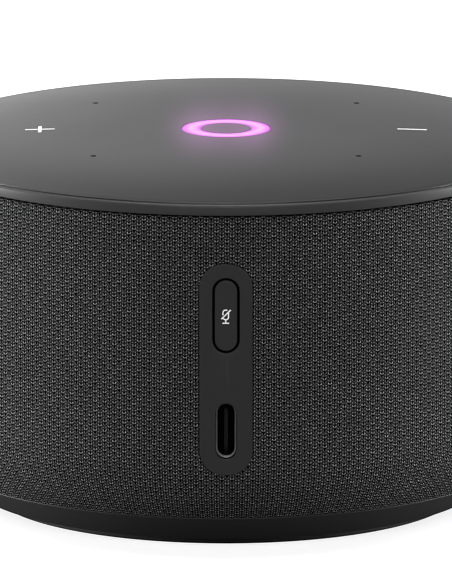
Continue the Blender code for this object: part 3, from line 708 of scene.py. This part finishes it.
def flex():
    """Amber polyimide film with copper tracks under it."""
    shade = Shade("flex", 0.35)
    x, _, _ = shade.place()
    tracks = (x * 1.25).fract().bump(0.5, 0.35).rise(0.2, 0.6)
    shade.set("Base Color", shade.blend(tracks, (0.42, 0.20, 0.035), (0.62, 0.27, 0.06)))
    shade.relief(tracks, 0.03)
    return shade


def wire():
    return moulded("wire", (0.5, 0.02, 0.02), 0.45, 0.5, 0.3, 0.01, 0.1)


def diffuser_plastic():
    shade = moulded("diffuser_plastic", (0.78, 0.78, 0.78), 0.45, 0.5, 0.3, 0.01, 0.04)
    shade.set("Subsurface Weight", 0.2)
    shade.set("Subsurface Radius", (0.002, 0.002, 0.002))
    return shade


def ink():
    """Pad-printed white ink, a little uneven, with a painted glow that brightens it."""
    shade = Shade("print", 0.5, 0.3)
    patches = shade.noise(0.25, 3.0)
    shade.set("Base Color", shade.blend(patches, grey(PRINT_LEVEL * 0.92), grey(PRINT_LEVEL)))
    # painted glow, which makes the ink brighter than lit white
    shade.set("Emission Color", (1, 1, 1, 1))
    shade.set("Emission Strength", PRINT_GLOW)
    shade.relief(patches, 0.004)
    return shade


RECIPES = {
    "top_plastic": top_plastic,
    "rim_plastic": lambda: moulded("rim_plastic", grey(0.051), 0.43, 0.28, 0.2, 0.006, 0.1),
    "strip_plastic": strip_plastic,
    "base_plastic": lambda: moulded("base_plastic", grey(0.035), 0.50, 0.35, 0.3, 0.015, 0.12),
    "frame_plastic": lambda: moulded("frame_plastic", grey(0.012), 0.60, 0.3, 0.4, 0.02, 0.2),
    "knit": knit,
    "lens": lens,
    "diffuser_plastic": diffuser_plastic,
    "print": ink,
    "rubber": rubber,
    "board": board,
    "chip": chip,
    "socket": socket,
    "steel": steel,
    "ferrite": ferrite,
    "copper": copper,
    "paper": paper,
    "foam": foam,
    "flex": flex,
    "wire": wire,
}


def paint_frame():
    """Gives each carried-over CAD node its slot's material."""
    for subpart in frame["record"]["subparts"]:
        mesh_slots = frame["nodes"][subpart["node"]].material_slots
        for mesh_slot in mesh_slots:
            mesh_slot.material = materials[subpart["material_slot"]]


# --- top ---------------------------------------------------------------------------------------


def crown_height(radius):
    return RIM_TOP + CROWN_RISE * (1 - (radius / BODY_RADIUS) ** CROWN_POWER)


def crown_points(first, last, steps, drop=0.0):
    radii = [first + (last - first) * step / steps for step in range(steps + 1)]
    return [(radius, crown_height(radius) - drop) for radius in radii]


def add_cover():
    window = RING_OUTER + RING_GAP
    brink = crown_height(COVER_RADIUS)
    profile = crown_points(window + 0.05, COVER_RADIUS - COVER_EDGE, 40)
    profile += [(COVER_RADIUS - COVER_EDGE / 4, brink - COVER_EDGE / 4)]
    profile += [(COVER_RADIUS, brink - COVER_EDGE), (COVER_RADIUS, COVER_SEAT)]
    profile += [(COVER_LEDGE, COVER_SEAT)]
    profile += crown_points(COVER_HOLLOW, window, 12, COVER_WALL)
    profile += [(window, crown_height(window) - 0.05)]
    cover = add_object("cover", turned("cover", profile), "top_plastic", replaced=["top_cover"])
    places = corners(MIC_OFFSET * math.sqrt(2))
    combine(cover, "DIFFERENCE", [disc(MIC_HOLE_RADIUS, COVER_SEAT, CROWN_TOP + 1, at) for at in places])


def add_light_ring():
    top = crown_points(RING_OUTER - RING_EDGE, RING_INNER + RING_EDGE, 6, RING_SINK)
    profile = [(RING_OUTER, top[0][1] - RING_EDGE)]
    profile += top
    profile += [
        (RING_INNER, top[-1][1] - RING_EDGE),
        (RING_INNER, LENS_FLANGE_TOP),
        (LENS_BORE_RADIUS, LENS_FLANGE_TOP),
        (LENS_BORE_RADIUS, LENS_BOTTOM),
        (LENS_FLANGE_RADIUS, LENS_BOTTOM),
        (LENS_FLANGE_RADIUS, LENS_FLANGE_TOP),
        (RING_OUTER, LENS_FLANGE_TOP),
    ]
    add_object("light_ring", turned("light_ring", profile, 128), "lens", replaced=["light_ring_lens"])
    edge = RING_INNER - RING_GAP
    core_bottom = LENS_FLANGE_TOP + 0.1
    core = [(0, CROWN_TOP), (2, crown_height(2)), (edge - RING_EDGE, crown_height(edge))]
    core += [(edge, crown_height(edge) - RING_EDGE), (edge, core_bottom), (0, core_bottom)]
    add_object("ring_core", turned("ring_core", core, 128), "top_plastic", replaced=["light_ring_core"])


def add_rim():
    profile = rounded(
        [
            (RIM_INNER, RIM_TOP, 0.12),
            (BODY_RADIUS, RIM_TOP, RIM_EDGE),
            (BODY_RADIUS, RIM_BOTTOM, 0.15),
            (SKIRT_OUTER, RIM_BOTTOM, 0),
            (SKIRT_OUTER, SKIRT_BOTTOM, 0.3),
            (SKIRT_INNER, SKIRT_BOTTOM, 0.3),
            (SKIRT_INNER, RIM_BOTTOM + RIM_WEB, 0),
            (RIM_INNER, RIM_BOTTOM + RIM_WEB, 0),
        ],
        6,
    )
    add_object("rim", turned("rim", profile), "rim_plastic", replaced=["rim_ring"])


def add_print(name, bars, middle_x):
    """Bars of ink on the cover: each bar is (width, depth) along X and Y, following the crown."""
    bm = bmesh.new()
    for width, depth in bars:
        steps_x = 12 if width > depth else 2
        steps_y = 12 if depth > width else 2
        grid = {}
        for i in range(steps_x + 1):
            for j in range(steps_y + 1):
                x = middle_x + width * (i / steps_x - 0.5)
                y = depth * (j / steps_y - 0.5)
                z = crown_height(math.hypot(x, y))
                grid[i, j] = (bm.verts.new((x, y, z + INK_HEIGHT)), bm.verts.new((x, y, z - 0.01)))
        for i in range(steps_x):
            for j in range(steps_y):
                cell = [grid[i, j], grid[i + 1, j], grid[i + 1, j + 1], grid[i, j + 1]]
                bm.faces.new([pair[0] for pair in cell])
                bm.faces.new([pair[1] for pair in reversed(cell)])
        rim = [(i, 0) for i in range(steps_x)] + [(steps_x, j) for j in range(steps_y)]
        rim += [(i, steps_y) for i in range(steps_x, 0, -1)] + [(0, j) for j in range(steps_y, 0, -1)]
        for here, after in zip(rim, rim[1:] + rim[:1]):
            bm.faces.new([grid[here][0], grid[here][1], grid[after][1], grid[after][0]])
    add_object(name, mesh_of(name, bm), "print")


# --- sides -------------------------------------------------------------------------------------


def bend_points(radius, start, end, steps):
    angles = [start + (end - start) * step / steps for step in range(steps + 1)]
    return [(BEND_CENTRE + radius * math.cos(a), BEND_Z - radius * math.sin(a)) for a in angles]


def add_sleeve():
    """The knitted sleeve, with the knit's own count of wales and repeats as its UV map."""
    upright = SLEEVE_TOP - BEND_Z
    straight = int(upright / COURSE_STEP)
    outside = [(SLEEVE_RADIUS, SLEEVE_TOP - upright * step / straight) for step in range(straight)]
    outside += bend_points(BEND_RADIUS, 0, BEND_END, 10)
    inside = bend_points(BEND_RADIUS - SLEEVE_WALL, BEND_END, 0, 10)
    inside += [(SLEEVE_RADIUS - SLEEVE_WALL, z) for _, z in reversed(outside[:straight])]
    top_out = [(SLEEVE_RADIUS - 0.12, SLEEVE_TOP), (SLEEVE_RADIUS, SLEEVE_TOP - 0.12)]
    outside = top_out + outside[1:]
    sleeve = add_object("sleeve", turned("sleeve", outside + inside), "knit", replaced=["fabric_sleeve"])
    opening = rounded_rectangle(STRIP_WIDTH + 0.2, STRIP_HEIGHT + 0.2, STRIP_CORNER + 0.1)
    opening = plate("opening", [moved(opening, 0, STRIP_Z)], -60, CUT_BACK, 0.01)
    combine(sleeve, "DIFFERENCE", [opening])
    layer = sleeve.data.uv_layers.new(name="knit")
    for face in sleeve.data.polygons:
        middle = face.center / MM
        middle_turn = math.atan2(middle.y, middle.x)
        for loop in face.loop_indices:
            point = sleeve.data.vertices[sleeve.data.loops[loop].vertex_index].co / MM
            turn = math.atan2(point.y, point.x)
            turn += math.tau * round((middle_turn - turn) / math.tau)
            layer.data[loop].uv = (WALES_ROUND * turn / math.tau, distance_down(point) / REPEAT)
    return sleeve


def distance_down(point):
    """How far down the sleeve's outside a point is, along the cloth."""
    if point.z >= BEND_Z:
        return SLEEVE_TOP - point.z
    angle = math.atan2(BEND_Z - point.z, math.hypot(point.x, point.y) - BEND_CENTRE)
    return SLEEVE_TOP - BEND_Z + BEND_RADIUS * angle


def add_strip():
    """The strip's face with its two slots, its neck, and the flange behind the sleeve."""
    outline = moved(rounded_rectangle(STRIP_WIDTH, STRIP_HEIGHT, STRIP_CORNER), 0, STRIP_Z)
    key_slot = moved(stadium(BUTTON_WIDTH + 2 * BUTTON_GAP, BUTTON_HEIGHT + 2 * BUTTON_GAP), 0, BUTTON_Z)
    inlet_slot = moved(stadium(INLET_WIDTH + 2 * INLET_GAP, INLET_HEIGHT + 2 * INLET_GAP), 0, INLET_Z)
    outlines = [outline, key_slot, inlet_slot]
    face = plate("strip", outlines, FACE_FRONT, STRIP_LIP_BACK, 0.07, BODY_RADIUS, 12)
    strip = add_object("strip", face, "strip_plastic", replaced=["rear_panel"])
    flange = moved(rounded_rectangle(STRIP_FLANGE_WIDTH, STRIP_FLANGE_HEIGHT, 2.0), 0, STRIP_Z)
    back = plate("strip_back", [flange], STRIP_FLANGE_FRONT, STRIP_FLANGE_BACK, 0.1)
    neck = plate("strip_neck", [outline], STRIP_LIP_BACK - 0.4, STRIP_FLANGE_FRONT + 0.3, 0.02)
    combine(strip, "UNION", [neck, back])
    pocket = plate("pocket", [moved(stadium(*KEY_POCKET), 0, BUTTON_Z)], STRIP_LIP_BACK, CUT_BACK, 0.01)
    slots = [plate("slot", [slot], SLOT_CUT_FRONT, CUT_BACK, 0.01) for slot in (inlet_slot, key_slot)]
    reach = INLET_WIDTH + 2 * INLET_GAP + 2 * SLOT_CHAMFER
    chamfer = []
    for out in (0.3, -SLOT_CHAMFER):
        ring = stadium(reach + 2 * out, reach + 2 * out + INLET_HEIGHT - INLET_WIDTH)
        chamfer.append((moved(ring, 0, INLET_Z), FACE_FRONT - out))
    combine(strip, "DIFFERENCE", [pocket, *slots, lofted("chamfer", chamfer)])


def add_key():
    """The mute key, with the flange that keeps it in and the post that rests on the switch."""
    outline = moved(stadium(BUTTON_WIDTH, BUTTON_HEIGHT, 16), 0, BUTTON_Z)
    flange_front = STRIP_LIP_BACK + FIT_GAP
    face = plate("mute_key", [outline], FACE_FRONT, flange_front + 0.4, 0.12, BODY_RADIUS, 8)
    key = add_object("mute_key", face, "strip_plastic", "button", ["mute_button"])
    flange = moved(stadium(*KEY_FLANGE), 0, BUTTON_Z)
    post = moved(stadium(*KEY_POST), 0, BUTTON_Z)
    back = plate("key_back", [flange], flange_front, flange_front + 0.8, 0.1)
    stem = plate("key_stem", [post], flange_front + 0.6, BUTTON_HIGH.y, 0.05)
    combine(key, "UNION", [back, stem])


def add_inlet():
    """A steel shell with a flared lip, and its insulator, a cup round the tongue with the contacts."""

    def outline(inset, y):
        return moved(stadium(INLET_WIDTH - 2 * inset, INLET_HEIGHT - 2 * inset, 16), 0, INLET_Z), y

    front, back = SHELL_LOW.y, SHELL_HIGH.y
    rows = [outline(0, back), outline(0, front + 0.15), outline(0.05, front)]
    rows += [outline(0.2, front + 0.5 * LIP_DEPTH), outline(INLET_WALL, front + LIP_DEPTH)]
    rows += [outline(INLET_WALL, back)]
    add_object("inlet_shell", lofted("inlet_shell", rows, True), "steel", replaced=["usb_shell"])
    tongue_low, tongue_high = box_mm("usb_tongue")
    mouth = front + LIP_DEPTH + 0.05
    rows = [outline(INLET_WALL + 0.02, tongue_high.y), outline(INLET_WALL + 0.02, mouth)]
    rows += [outline(INLET_WALL + 0.06, mouth), outline(INLET_WALL + 0.06, INLET_FLOOR)]
    cup = lofted("inlet_tongue", rows)
    tongue = add_object("inlet_tongue", cup, "chip", replaced=["usb_tongue"])
    blade = moved(rounded_rectangle(TONGUE_WIDTH, TONGUE_HEIGHT, 0.2), 0, INLET_Z)
    combine(tongue, "UNION", [plate("blade", [blade], tongue_low.y, INLET_FLOOR + 0.4, 0.08)])
    pads = []
    for side in (-1, 1):
        for number in range(CONTACTS):
            z = INLET_Z + CONTACT_PITCH * (number - (CONTACTS - 1) / 2)
            pad = moved(rounded_rectangle(0.02, 0.26, 0.005, 2), side * TONGUE_WIDTH / 2, z)
            pads.append(plate("pad", [pad], tongue_low.y + 0.9, INLET_FLOOR - 0.1, 0.008))
    add_object("inlet_contacts", joined("inlet_contacts", pads), "copper")


def stroke(points):
    """The outline of a line of ink that follows (x, z) points."""
    sides = [[], []]
    for index, point in enumerate(points):
        before = Vector(points[max(index - 1, 0)])
        after = Vector(points[min(index + 1, len(points) - 1)])
        along = (after - before).normalized()
        across = Vector((-along.y, along.x)) * INK_LINE / 2
        sides[0].append(tuple(Vector(point) + across))
        sides[1].append(tuple(Vector(point) - across))
    return sides[0] + sides[1][::-1]


def arc(centre, radius, start, end, steps=12):
    angles = [math.radians(start + (end - start) * step / steps) for step in range(steps + 1)]
    return [(centre[0] + radius * math.cos(a), centre[1] + radius * math.sin(a)) for a in angles]


def add_mute_print():
    """A plain microphone of thin lines, with a stroke through it."""
    head, foot_reach, middle = 0.44, 0.53, -0.04
    top, bottom, foot = BUTTON_Z + 0.5, BUTTON_Z - 0.19, BUTTON_Z - 1.19
    lines = [
        [(middle + head, top), *arc((middle, top), head, 57, 180), (middle - head, BUTTON_Z + 0.1)][1:],
        [(middle + head, top - 0.02), *arc((middle, bottom), head, 0, -152)],
        [(middle, bottom - head), (middle, foot)],
        [(middle - foot_reach, foot), (middle + foot_reach, foot)],
        [(0.74, BUTTON_Z + 0.95), (-0.74, BUTTON_Z - 0.53)],
    ]
    plates = []
    for number, points in enumerate(lines):
        front = FACE_FRONT - INK_HEIGHT - 0.001 * number
        plates.append(plate("ink", [stroke(points)], front, front + 0.03, 0.002, BODY_RADIUS, 6))
    add_object("mute_print", joined("mute_print", plates), "print", "button")


# --- base --------------------------------------------------------------------------------------


def add_base():
    lip = bend_points(BEND_RADIUS, BEND_END + math.radians(1), 1, 1)[0]
    groove_outer, groove_inner = FOOT_OUTER + FIT_GAP, FOOT_INNER - FIT_GAP
    groove_top = FOOT_TOP + FIT_GAP
    outer = rounded(
        [
            (groove_inner, groove_top, 0),
            (groove_inner, BASE_BOTTOM, 0.2),
            (0, BASE_BOTTOM, 0),
            (0, BASE_FLOOR_TOP, 0),
            (BASE_EDGE_RADIUS - 1.2, BASE_FLOOR_TOP, 0.6),
            (lip[0] - 1.7, lip[1] + 1.7, 0.3),
            (lip[0], lip[1], 0.15),
            (BASE_EDGE_RADIUS, BASE_BOTTOM, 0.5),
            (groove_outer, BASE_BOTTOM, 0.2),
            (groove_outer, groove_top, 0),
        ],
        4,
    )
    split = next(i for i, point in enumerate(outer) if point[0] == 0)
    profile = outer[split + 1 :] + outer[: split + 1]
    base = add_object("base", turned("base", profile), "base_plastic", replaced=["base_housing"])
    places = corners(BASE_SCREW_CIRCLE)
    combine(base, "UNION", [disc(BOSS_RADIUS, BASE_FLOOR_TOP - 0.4, BOSS_TOP, at) for at in places])
    pockets = [disc(HEAD_POCKET_RADIUS, 0, HEAD_POCKET_TOP, at, 48) for at in places]
    pilots = [disc(PILOT_RADIUS, PILOT_BOTTOM, PILOT_TOP, at) for at in places]
    combine(base, "DIFFERENCE", pockets + pilots)


def add_foot():
    inner = [(FOOT_INNER, FOOT_TOP, 0.1), (FOOT_INNER, 0, 0.4)]
    outer = [(FOOT_OUTER, 0, 0.4), (FOOT_OUTER, FOOT_TOP, 0.1)]
    profile = rounded(inner + outer, 5)
    add_object("foot", turned("foot", profile), "rubber", replaced=["rubber_foot"])


def add_base_screws():
    """Screws with a flat round head, which has a six-sided socket."""
    head, shank, head_height, edge = 2.5, 1.0, 1.6, 0.2
    for number, at in enumerate(corners(BASE_SCREW_CIRCLE), 1):
        node = f"base_screw_{number}"
        low, high = box_mm(node)
        shoulder = low.z + head_height
        profile = [(0, low.z), (head - edge, low.z), (head, low.z + edge), (head, shoulder)]
        profile += [(shank, shoulder), (shank, high.z - 0.6), (shank / 2, high.z), (0, high.z)]
        screw = add_object(f"screw_{number}", turned(node, profile, 40, at), "steel", replaced=[node])
        combine(screw, "DIFFERENCE", [disc(1.1, low.z - 1, low.z + 0.9, at, 6)])


# --- loudspeaker -------------------------------------------------------------------------------


def stretch(ring, moving, still):
    """Blends a ring between the cone and the housing by its radius: within the radius called moving it
    follows the cone, and beyond the one called still it stays."""
    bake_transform(ring, "housing", "cone", start=(0, 0, 0), end=(0, 0, RIM_TOP * MM))
    shares = ring.data.attributes["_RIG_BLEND"].data
    for vert, share in zip(ring.data.vertices, shares):
        radius = math.hypot(vert.co.x, vert.co.y) / MM
        part = min(max((still - radius) / (still - moving), 0), 1)
        share.value = part * part * (3 - 2 * part)


def add_surround():
    """The rubber half-roll round the cone's edge."""
    low, high = box_mm("cone_surround")
    foot_top = low.z + ROLL_WALL
    rise_outside, rise_inside = high.z - foot_top, high.z - low.z - 1.2 * ROLL_WALL - 0.1
    half_turn = [math.pi * step / 12 for step in range(13)]
    profile = [(high.x, low.z), (high.x, foot_top)]
    for angle in half_turn:
        radius = ROLL_MIDDLE + ROLL_RADIUS * math.cos(angle)
        profile.append((radius, foot_top + rise_outside * math.sin(angle)))
    profile += [(ROLL_INNER, foot_top), (ROLL_INNER, low.z)]
    for angle in half_turn:
        radius = ROLL_MIDDLE - (ROLL_RADIUS - ROLL_WALL) * math.cos(angle)
        profile.append((radius, low.z + rise_inside * math.sin(angle)))
    roll = add_object("surround", turned("surround", profile, 96), "rubber", None, ["cone_surround"])
    stretch(roll, box_mm("speaker_cone")[1].x + 0.2, ROLL_MIDDLE + ROLL_RADIUS - 0.2)


def add_spider():
    """The waved disc at the cone's neck."""
    steps = 32
    waved = []
    for step in range(steps + 1):
        part = step / steps
        radius = SPIDER_INNER + part * (SPIDER_FLAT - SPIDER_INNER)
        waved.append((radius, SPIDER_Z + SPIDER_SWING * math.sin(part * math.tau * SPIDER_WAVES)))
    waved.append((box_mm("cone_spider")[1].x, SPIDER_Z))
    profile = waved + [(radius, z + SPIDER_THICKNESS) for radius, z in reversed(waved)]
    spider = add_object("spider", turned("spider", profile, 96), "foam", None, ["cone_spider"])
    stretch(spider, SPIDER_INNER + 0.5, SPIDER_FLAT + 1.0)


# --- stage -------------------------------------------------------------------------------------

CAMERA_PITCH = math.radians(11.64)  # how far above the horizon the camera is
CAMERA_DIP = math.radians(0.550)  # how far below the rim's middle it points
CAMERA_DISTANCE = 50 * BODY_RADIUS * MM
BODY_SHARE = 0.54161  # the body's radius, as a share of the picture's height
SENSOR = 36.0
FLOOR_LEVEL, FLOOR_SEEN_LEVEL, FLOOR_LIFT = 0.12, 0.6, 0.8
WORLD_LEVEL = 0.01
MIDDLE = (0, 0, 0.03)
SOFTBOXES = (  # name, place, aim, width, height, power
    ("left low", (-1.15, 0.25, 0.05), MIDDLE, 0.7, 0.09, 18.8),
    ("right low", (1.15, 0.25, 0.05), MIDDLE, 0.7, 0.09, 13.8),
    ("left high", (-0.9, 0.3, 0.8), MIDDLE, 0.6, 0.6, 4.2),
    ("right high", (0.9, 0.3, 0.8), MIDDLE, 0.6, 0.6, 5.1),
    ("front high", (0, -1.6, 0.9), MIDDLE, 1.2, 0.8, 8.8),
    ("front low", (0, -1.7, 0.35), MIDDLE, 1.2, 0.5, 5.2),
    ("back low", (0, 1.6, 0.25), MIDDLE, 1.6, 0.4, 1.72),
    ("back left low", (-0.4, 1.6, 0.22), MIDDLE, 0.7, 0.35, 0.7),
    ("back left high", (-0.6, 1.3, 0.7), MIDDLE, 0.7, 0.5, 2.6),
    ("near back", (-0.15, 0.45, 0.2), (0, 0, 0.06), 0.3, 0.12, 0.035),
    ("overhead", (0, 0, 1.5), MIDDLE, 0.8, 0.8, 14.8),
)
BLOOM_FROM, BLOOM_REACH, BLOOM_COLOUR = 0.1, 42, (1.35, 0.60, 1.4)
DISPLAY_GAMMA, SHARPENING = 2.2, 0.025


def add_camera():
    """Looks at the rim's middle, then a little lower, as the photograph is framed."""
    data = bpy.data.cameras.new("camera")
    data.sensor_width = SENSOR
    data.lens = SENSOR * BODY_SHARE * CAMERA_DISTANCE / (BODY_RADIUS * MM)
    data.clip_start, data.clip_end = 0.05, 50
    camera = bpy.data.objects.new("camera", data)
    bpy.context.scene.collection.objects.link(camera)
    back = Vector((0, -math.cos(CAMERA_PITCH), math.sin(CAMERA_PITCH)))
    camera.location = Vector((0, 0, RIM_TOP * MM)) + back * CAMERA_DISTANCE
    camera.rotation_euler = (math.radians(90) - CAMERA_PITCH - CAMERA_DIP, 0, 0)
    bpy.context.scene.camera = camera


def add_softbox(name, place, aim, width, height, power):
    data = bpy.data.lights.new(name, "AREA")
    data.shape = "RECTANGLE"
    data.size, data.size_y = width, height
    data.energy = power
    light = bpy.data.objects.new(name, data)
    bpy.context.scene.collection.objects.link(light)
    light.location = place
    light.rotation_euler = (Vector(aim) - Vector(place)).to_track_quat("-Z", "Y").to_euler()
    light.visible_camera = False


def add_floor():
    """A pale floor that shows only from above. It throws less light back at the speaker than the
    white that it shows."""
    bm = bmesh.new()
    bmesh.ops.create_grid(bm, x_segments=1, y_segments=1, size=6000)
    floor = add_object("floor", mesh_of("floor", bm))
    shade = Shade("floor", 0.9, 0.0)
    slow = shade.noise(300.0, 2.0)
    path = shade.node("LightPath")
    seen = Value(shade, path.outputs["Is Camera Ray"])
    unseen_colour = shade.blend(slow, grey(FLOOR_LEVEL), grey(FLOOR_LEVEL * 1.05))
    shade.set("Base Color", shade.blend(seen, unseen_colour, grey(FLOOR_SEEN_LEVEL)))
    shade.set("Emission Color", (1, 1, 1, 1))
    shade.set("Emission Strength", seen * FLOOR_LIFT)
    facing = shade.node("NewGeometry")
    clear = shade.node("BsdfTransparent")
    mix = shade.node("MixShader")
    shade.feed(mix.inputs[0], facing.outputs["Backfacing"])
    shade.feed(mix.inputs[1], shade.shader.outputs[0])
    shade.feed(mix.inputs[2], clear.outputs[0])
    shade.feed(shade.tree.nodes["Material Output"].inputs["Surface"], mix.outputs[0])
    floor.data.materials.append(shade.material)


def add_world():
    """White to the camera, and nearly dark to the speaker, which the softboxes light."""
    world = bpy.data.worlds.new("studio")
    bpy.context.scene.world = world
    world.use_nodes = True
    tree = world.node_tree
    path = tree.nodes.new("ShaderNodeLightPath")
    shown = tree.nodes.new("ShaderNodeMath")
    shown.operation = "MAXIMUM"
    shown.inputs[1].default_value = WORLD_LEVEL
    tree.links.new(path.outputs["Is Camera Ray"], shown.inputs[0])
    background = tree.nodes["Background"]
    tree.links.new(shown.outputs[0], background.inputs["Strength"])
    background.inputs["Color"].default_value = (1, 1, 1, 1)


def add_lens_look():
    """What the camera adds to the picture: a soft glow round the lit ring, from what is much redder
    than green, and a little sharpening."""
    scene = bpy.context.scene
    scene.use_nodes = True
    tree = scene.node_tree
    tree.nodes.clear()

    def node(kind, inputs, **settings):
        made = tree.nodes.new("CompositorNode" + kind)
        for key, value in settings.items():
            setattr(made, key, value)
        for key, value in inputs.items():
            if isinstance(value, bpy.types.NodeSocket):
                tree.links.new(value, made.inputs[key])
            else:
                made.inputs[key].default_value = value
        return made.outputs[0] if made.outputs else None

    picture = node("RLayers", {})
    channels = tree.nodes.new("CompositorNodeSeparateColor")
    tree.links.new(picture, channels.inputs[0])
    green = node("Math", {0: channels.outputs["Green"], 1: BLOOM_FROM}, operation="ADD")
    violet = node("Math", {0: channels.outputs["Red"], 1: green}, operation="SUBTRACT", use_clamp=True)
    spread = node("Blur", {"Image": violet, "Size": (BLOOM_REACH, BLOOM_REACH)}, filter_type="GAUSS")
    glow = node("MixRGB", {0: 1, 1: spread, 2: (*BLOOM_COLOUR, 1)}, blend_type="MULTIPLY")
    glowing = node("MixRGB", {0: 1, 1: picture, 2: glow}, blend_type="ADD")
    shown = node("Gamma", {0: glowing, 1: 1 / DISPLAY_GAMMA})
    sharp = node("Filter", {0: SHARPENING, 1: shown}, filter_type="SHARPEN")
    linear = node("Gamma", {0: sharp, 1: DISPLAY_GAMMA})
    node("Composite", {0: linear})


# --- the whole object and its stage ------------------------------------------------------------

materials = {name: recipe().material for name, recipe in RECIPES.items()}
paint_frame()
add_cover()
add_light_ring()
add_rim()
add_print("print_plus", [(MARK_LENGTH, MARK_WIDTH), (MARK_WIDTH, MARK_LENGTH)], -MARK_OFFSET)
add_print("print_minus", [(MARK_LENGTH, MARK_WIDTH)], MARK_OFFSET)
sleeve = add_sleeve()
add_strip()
add_key()
add_inlet()
add_mute_print()
add_base()
add_foot()
add_base_screws()
add_surround()
add_spider()

add_camera()
add_floor()
add_world()
for light in SOFTBOXES:
    add_softbox(*light)
bpy.context.scene.view_settings.view_transform = "Standard"
add_lens_look()
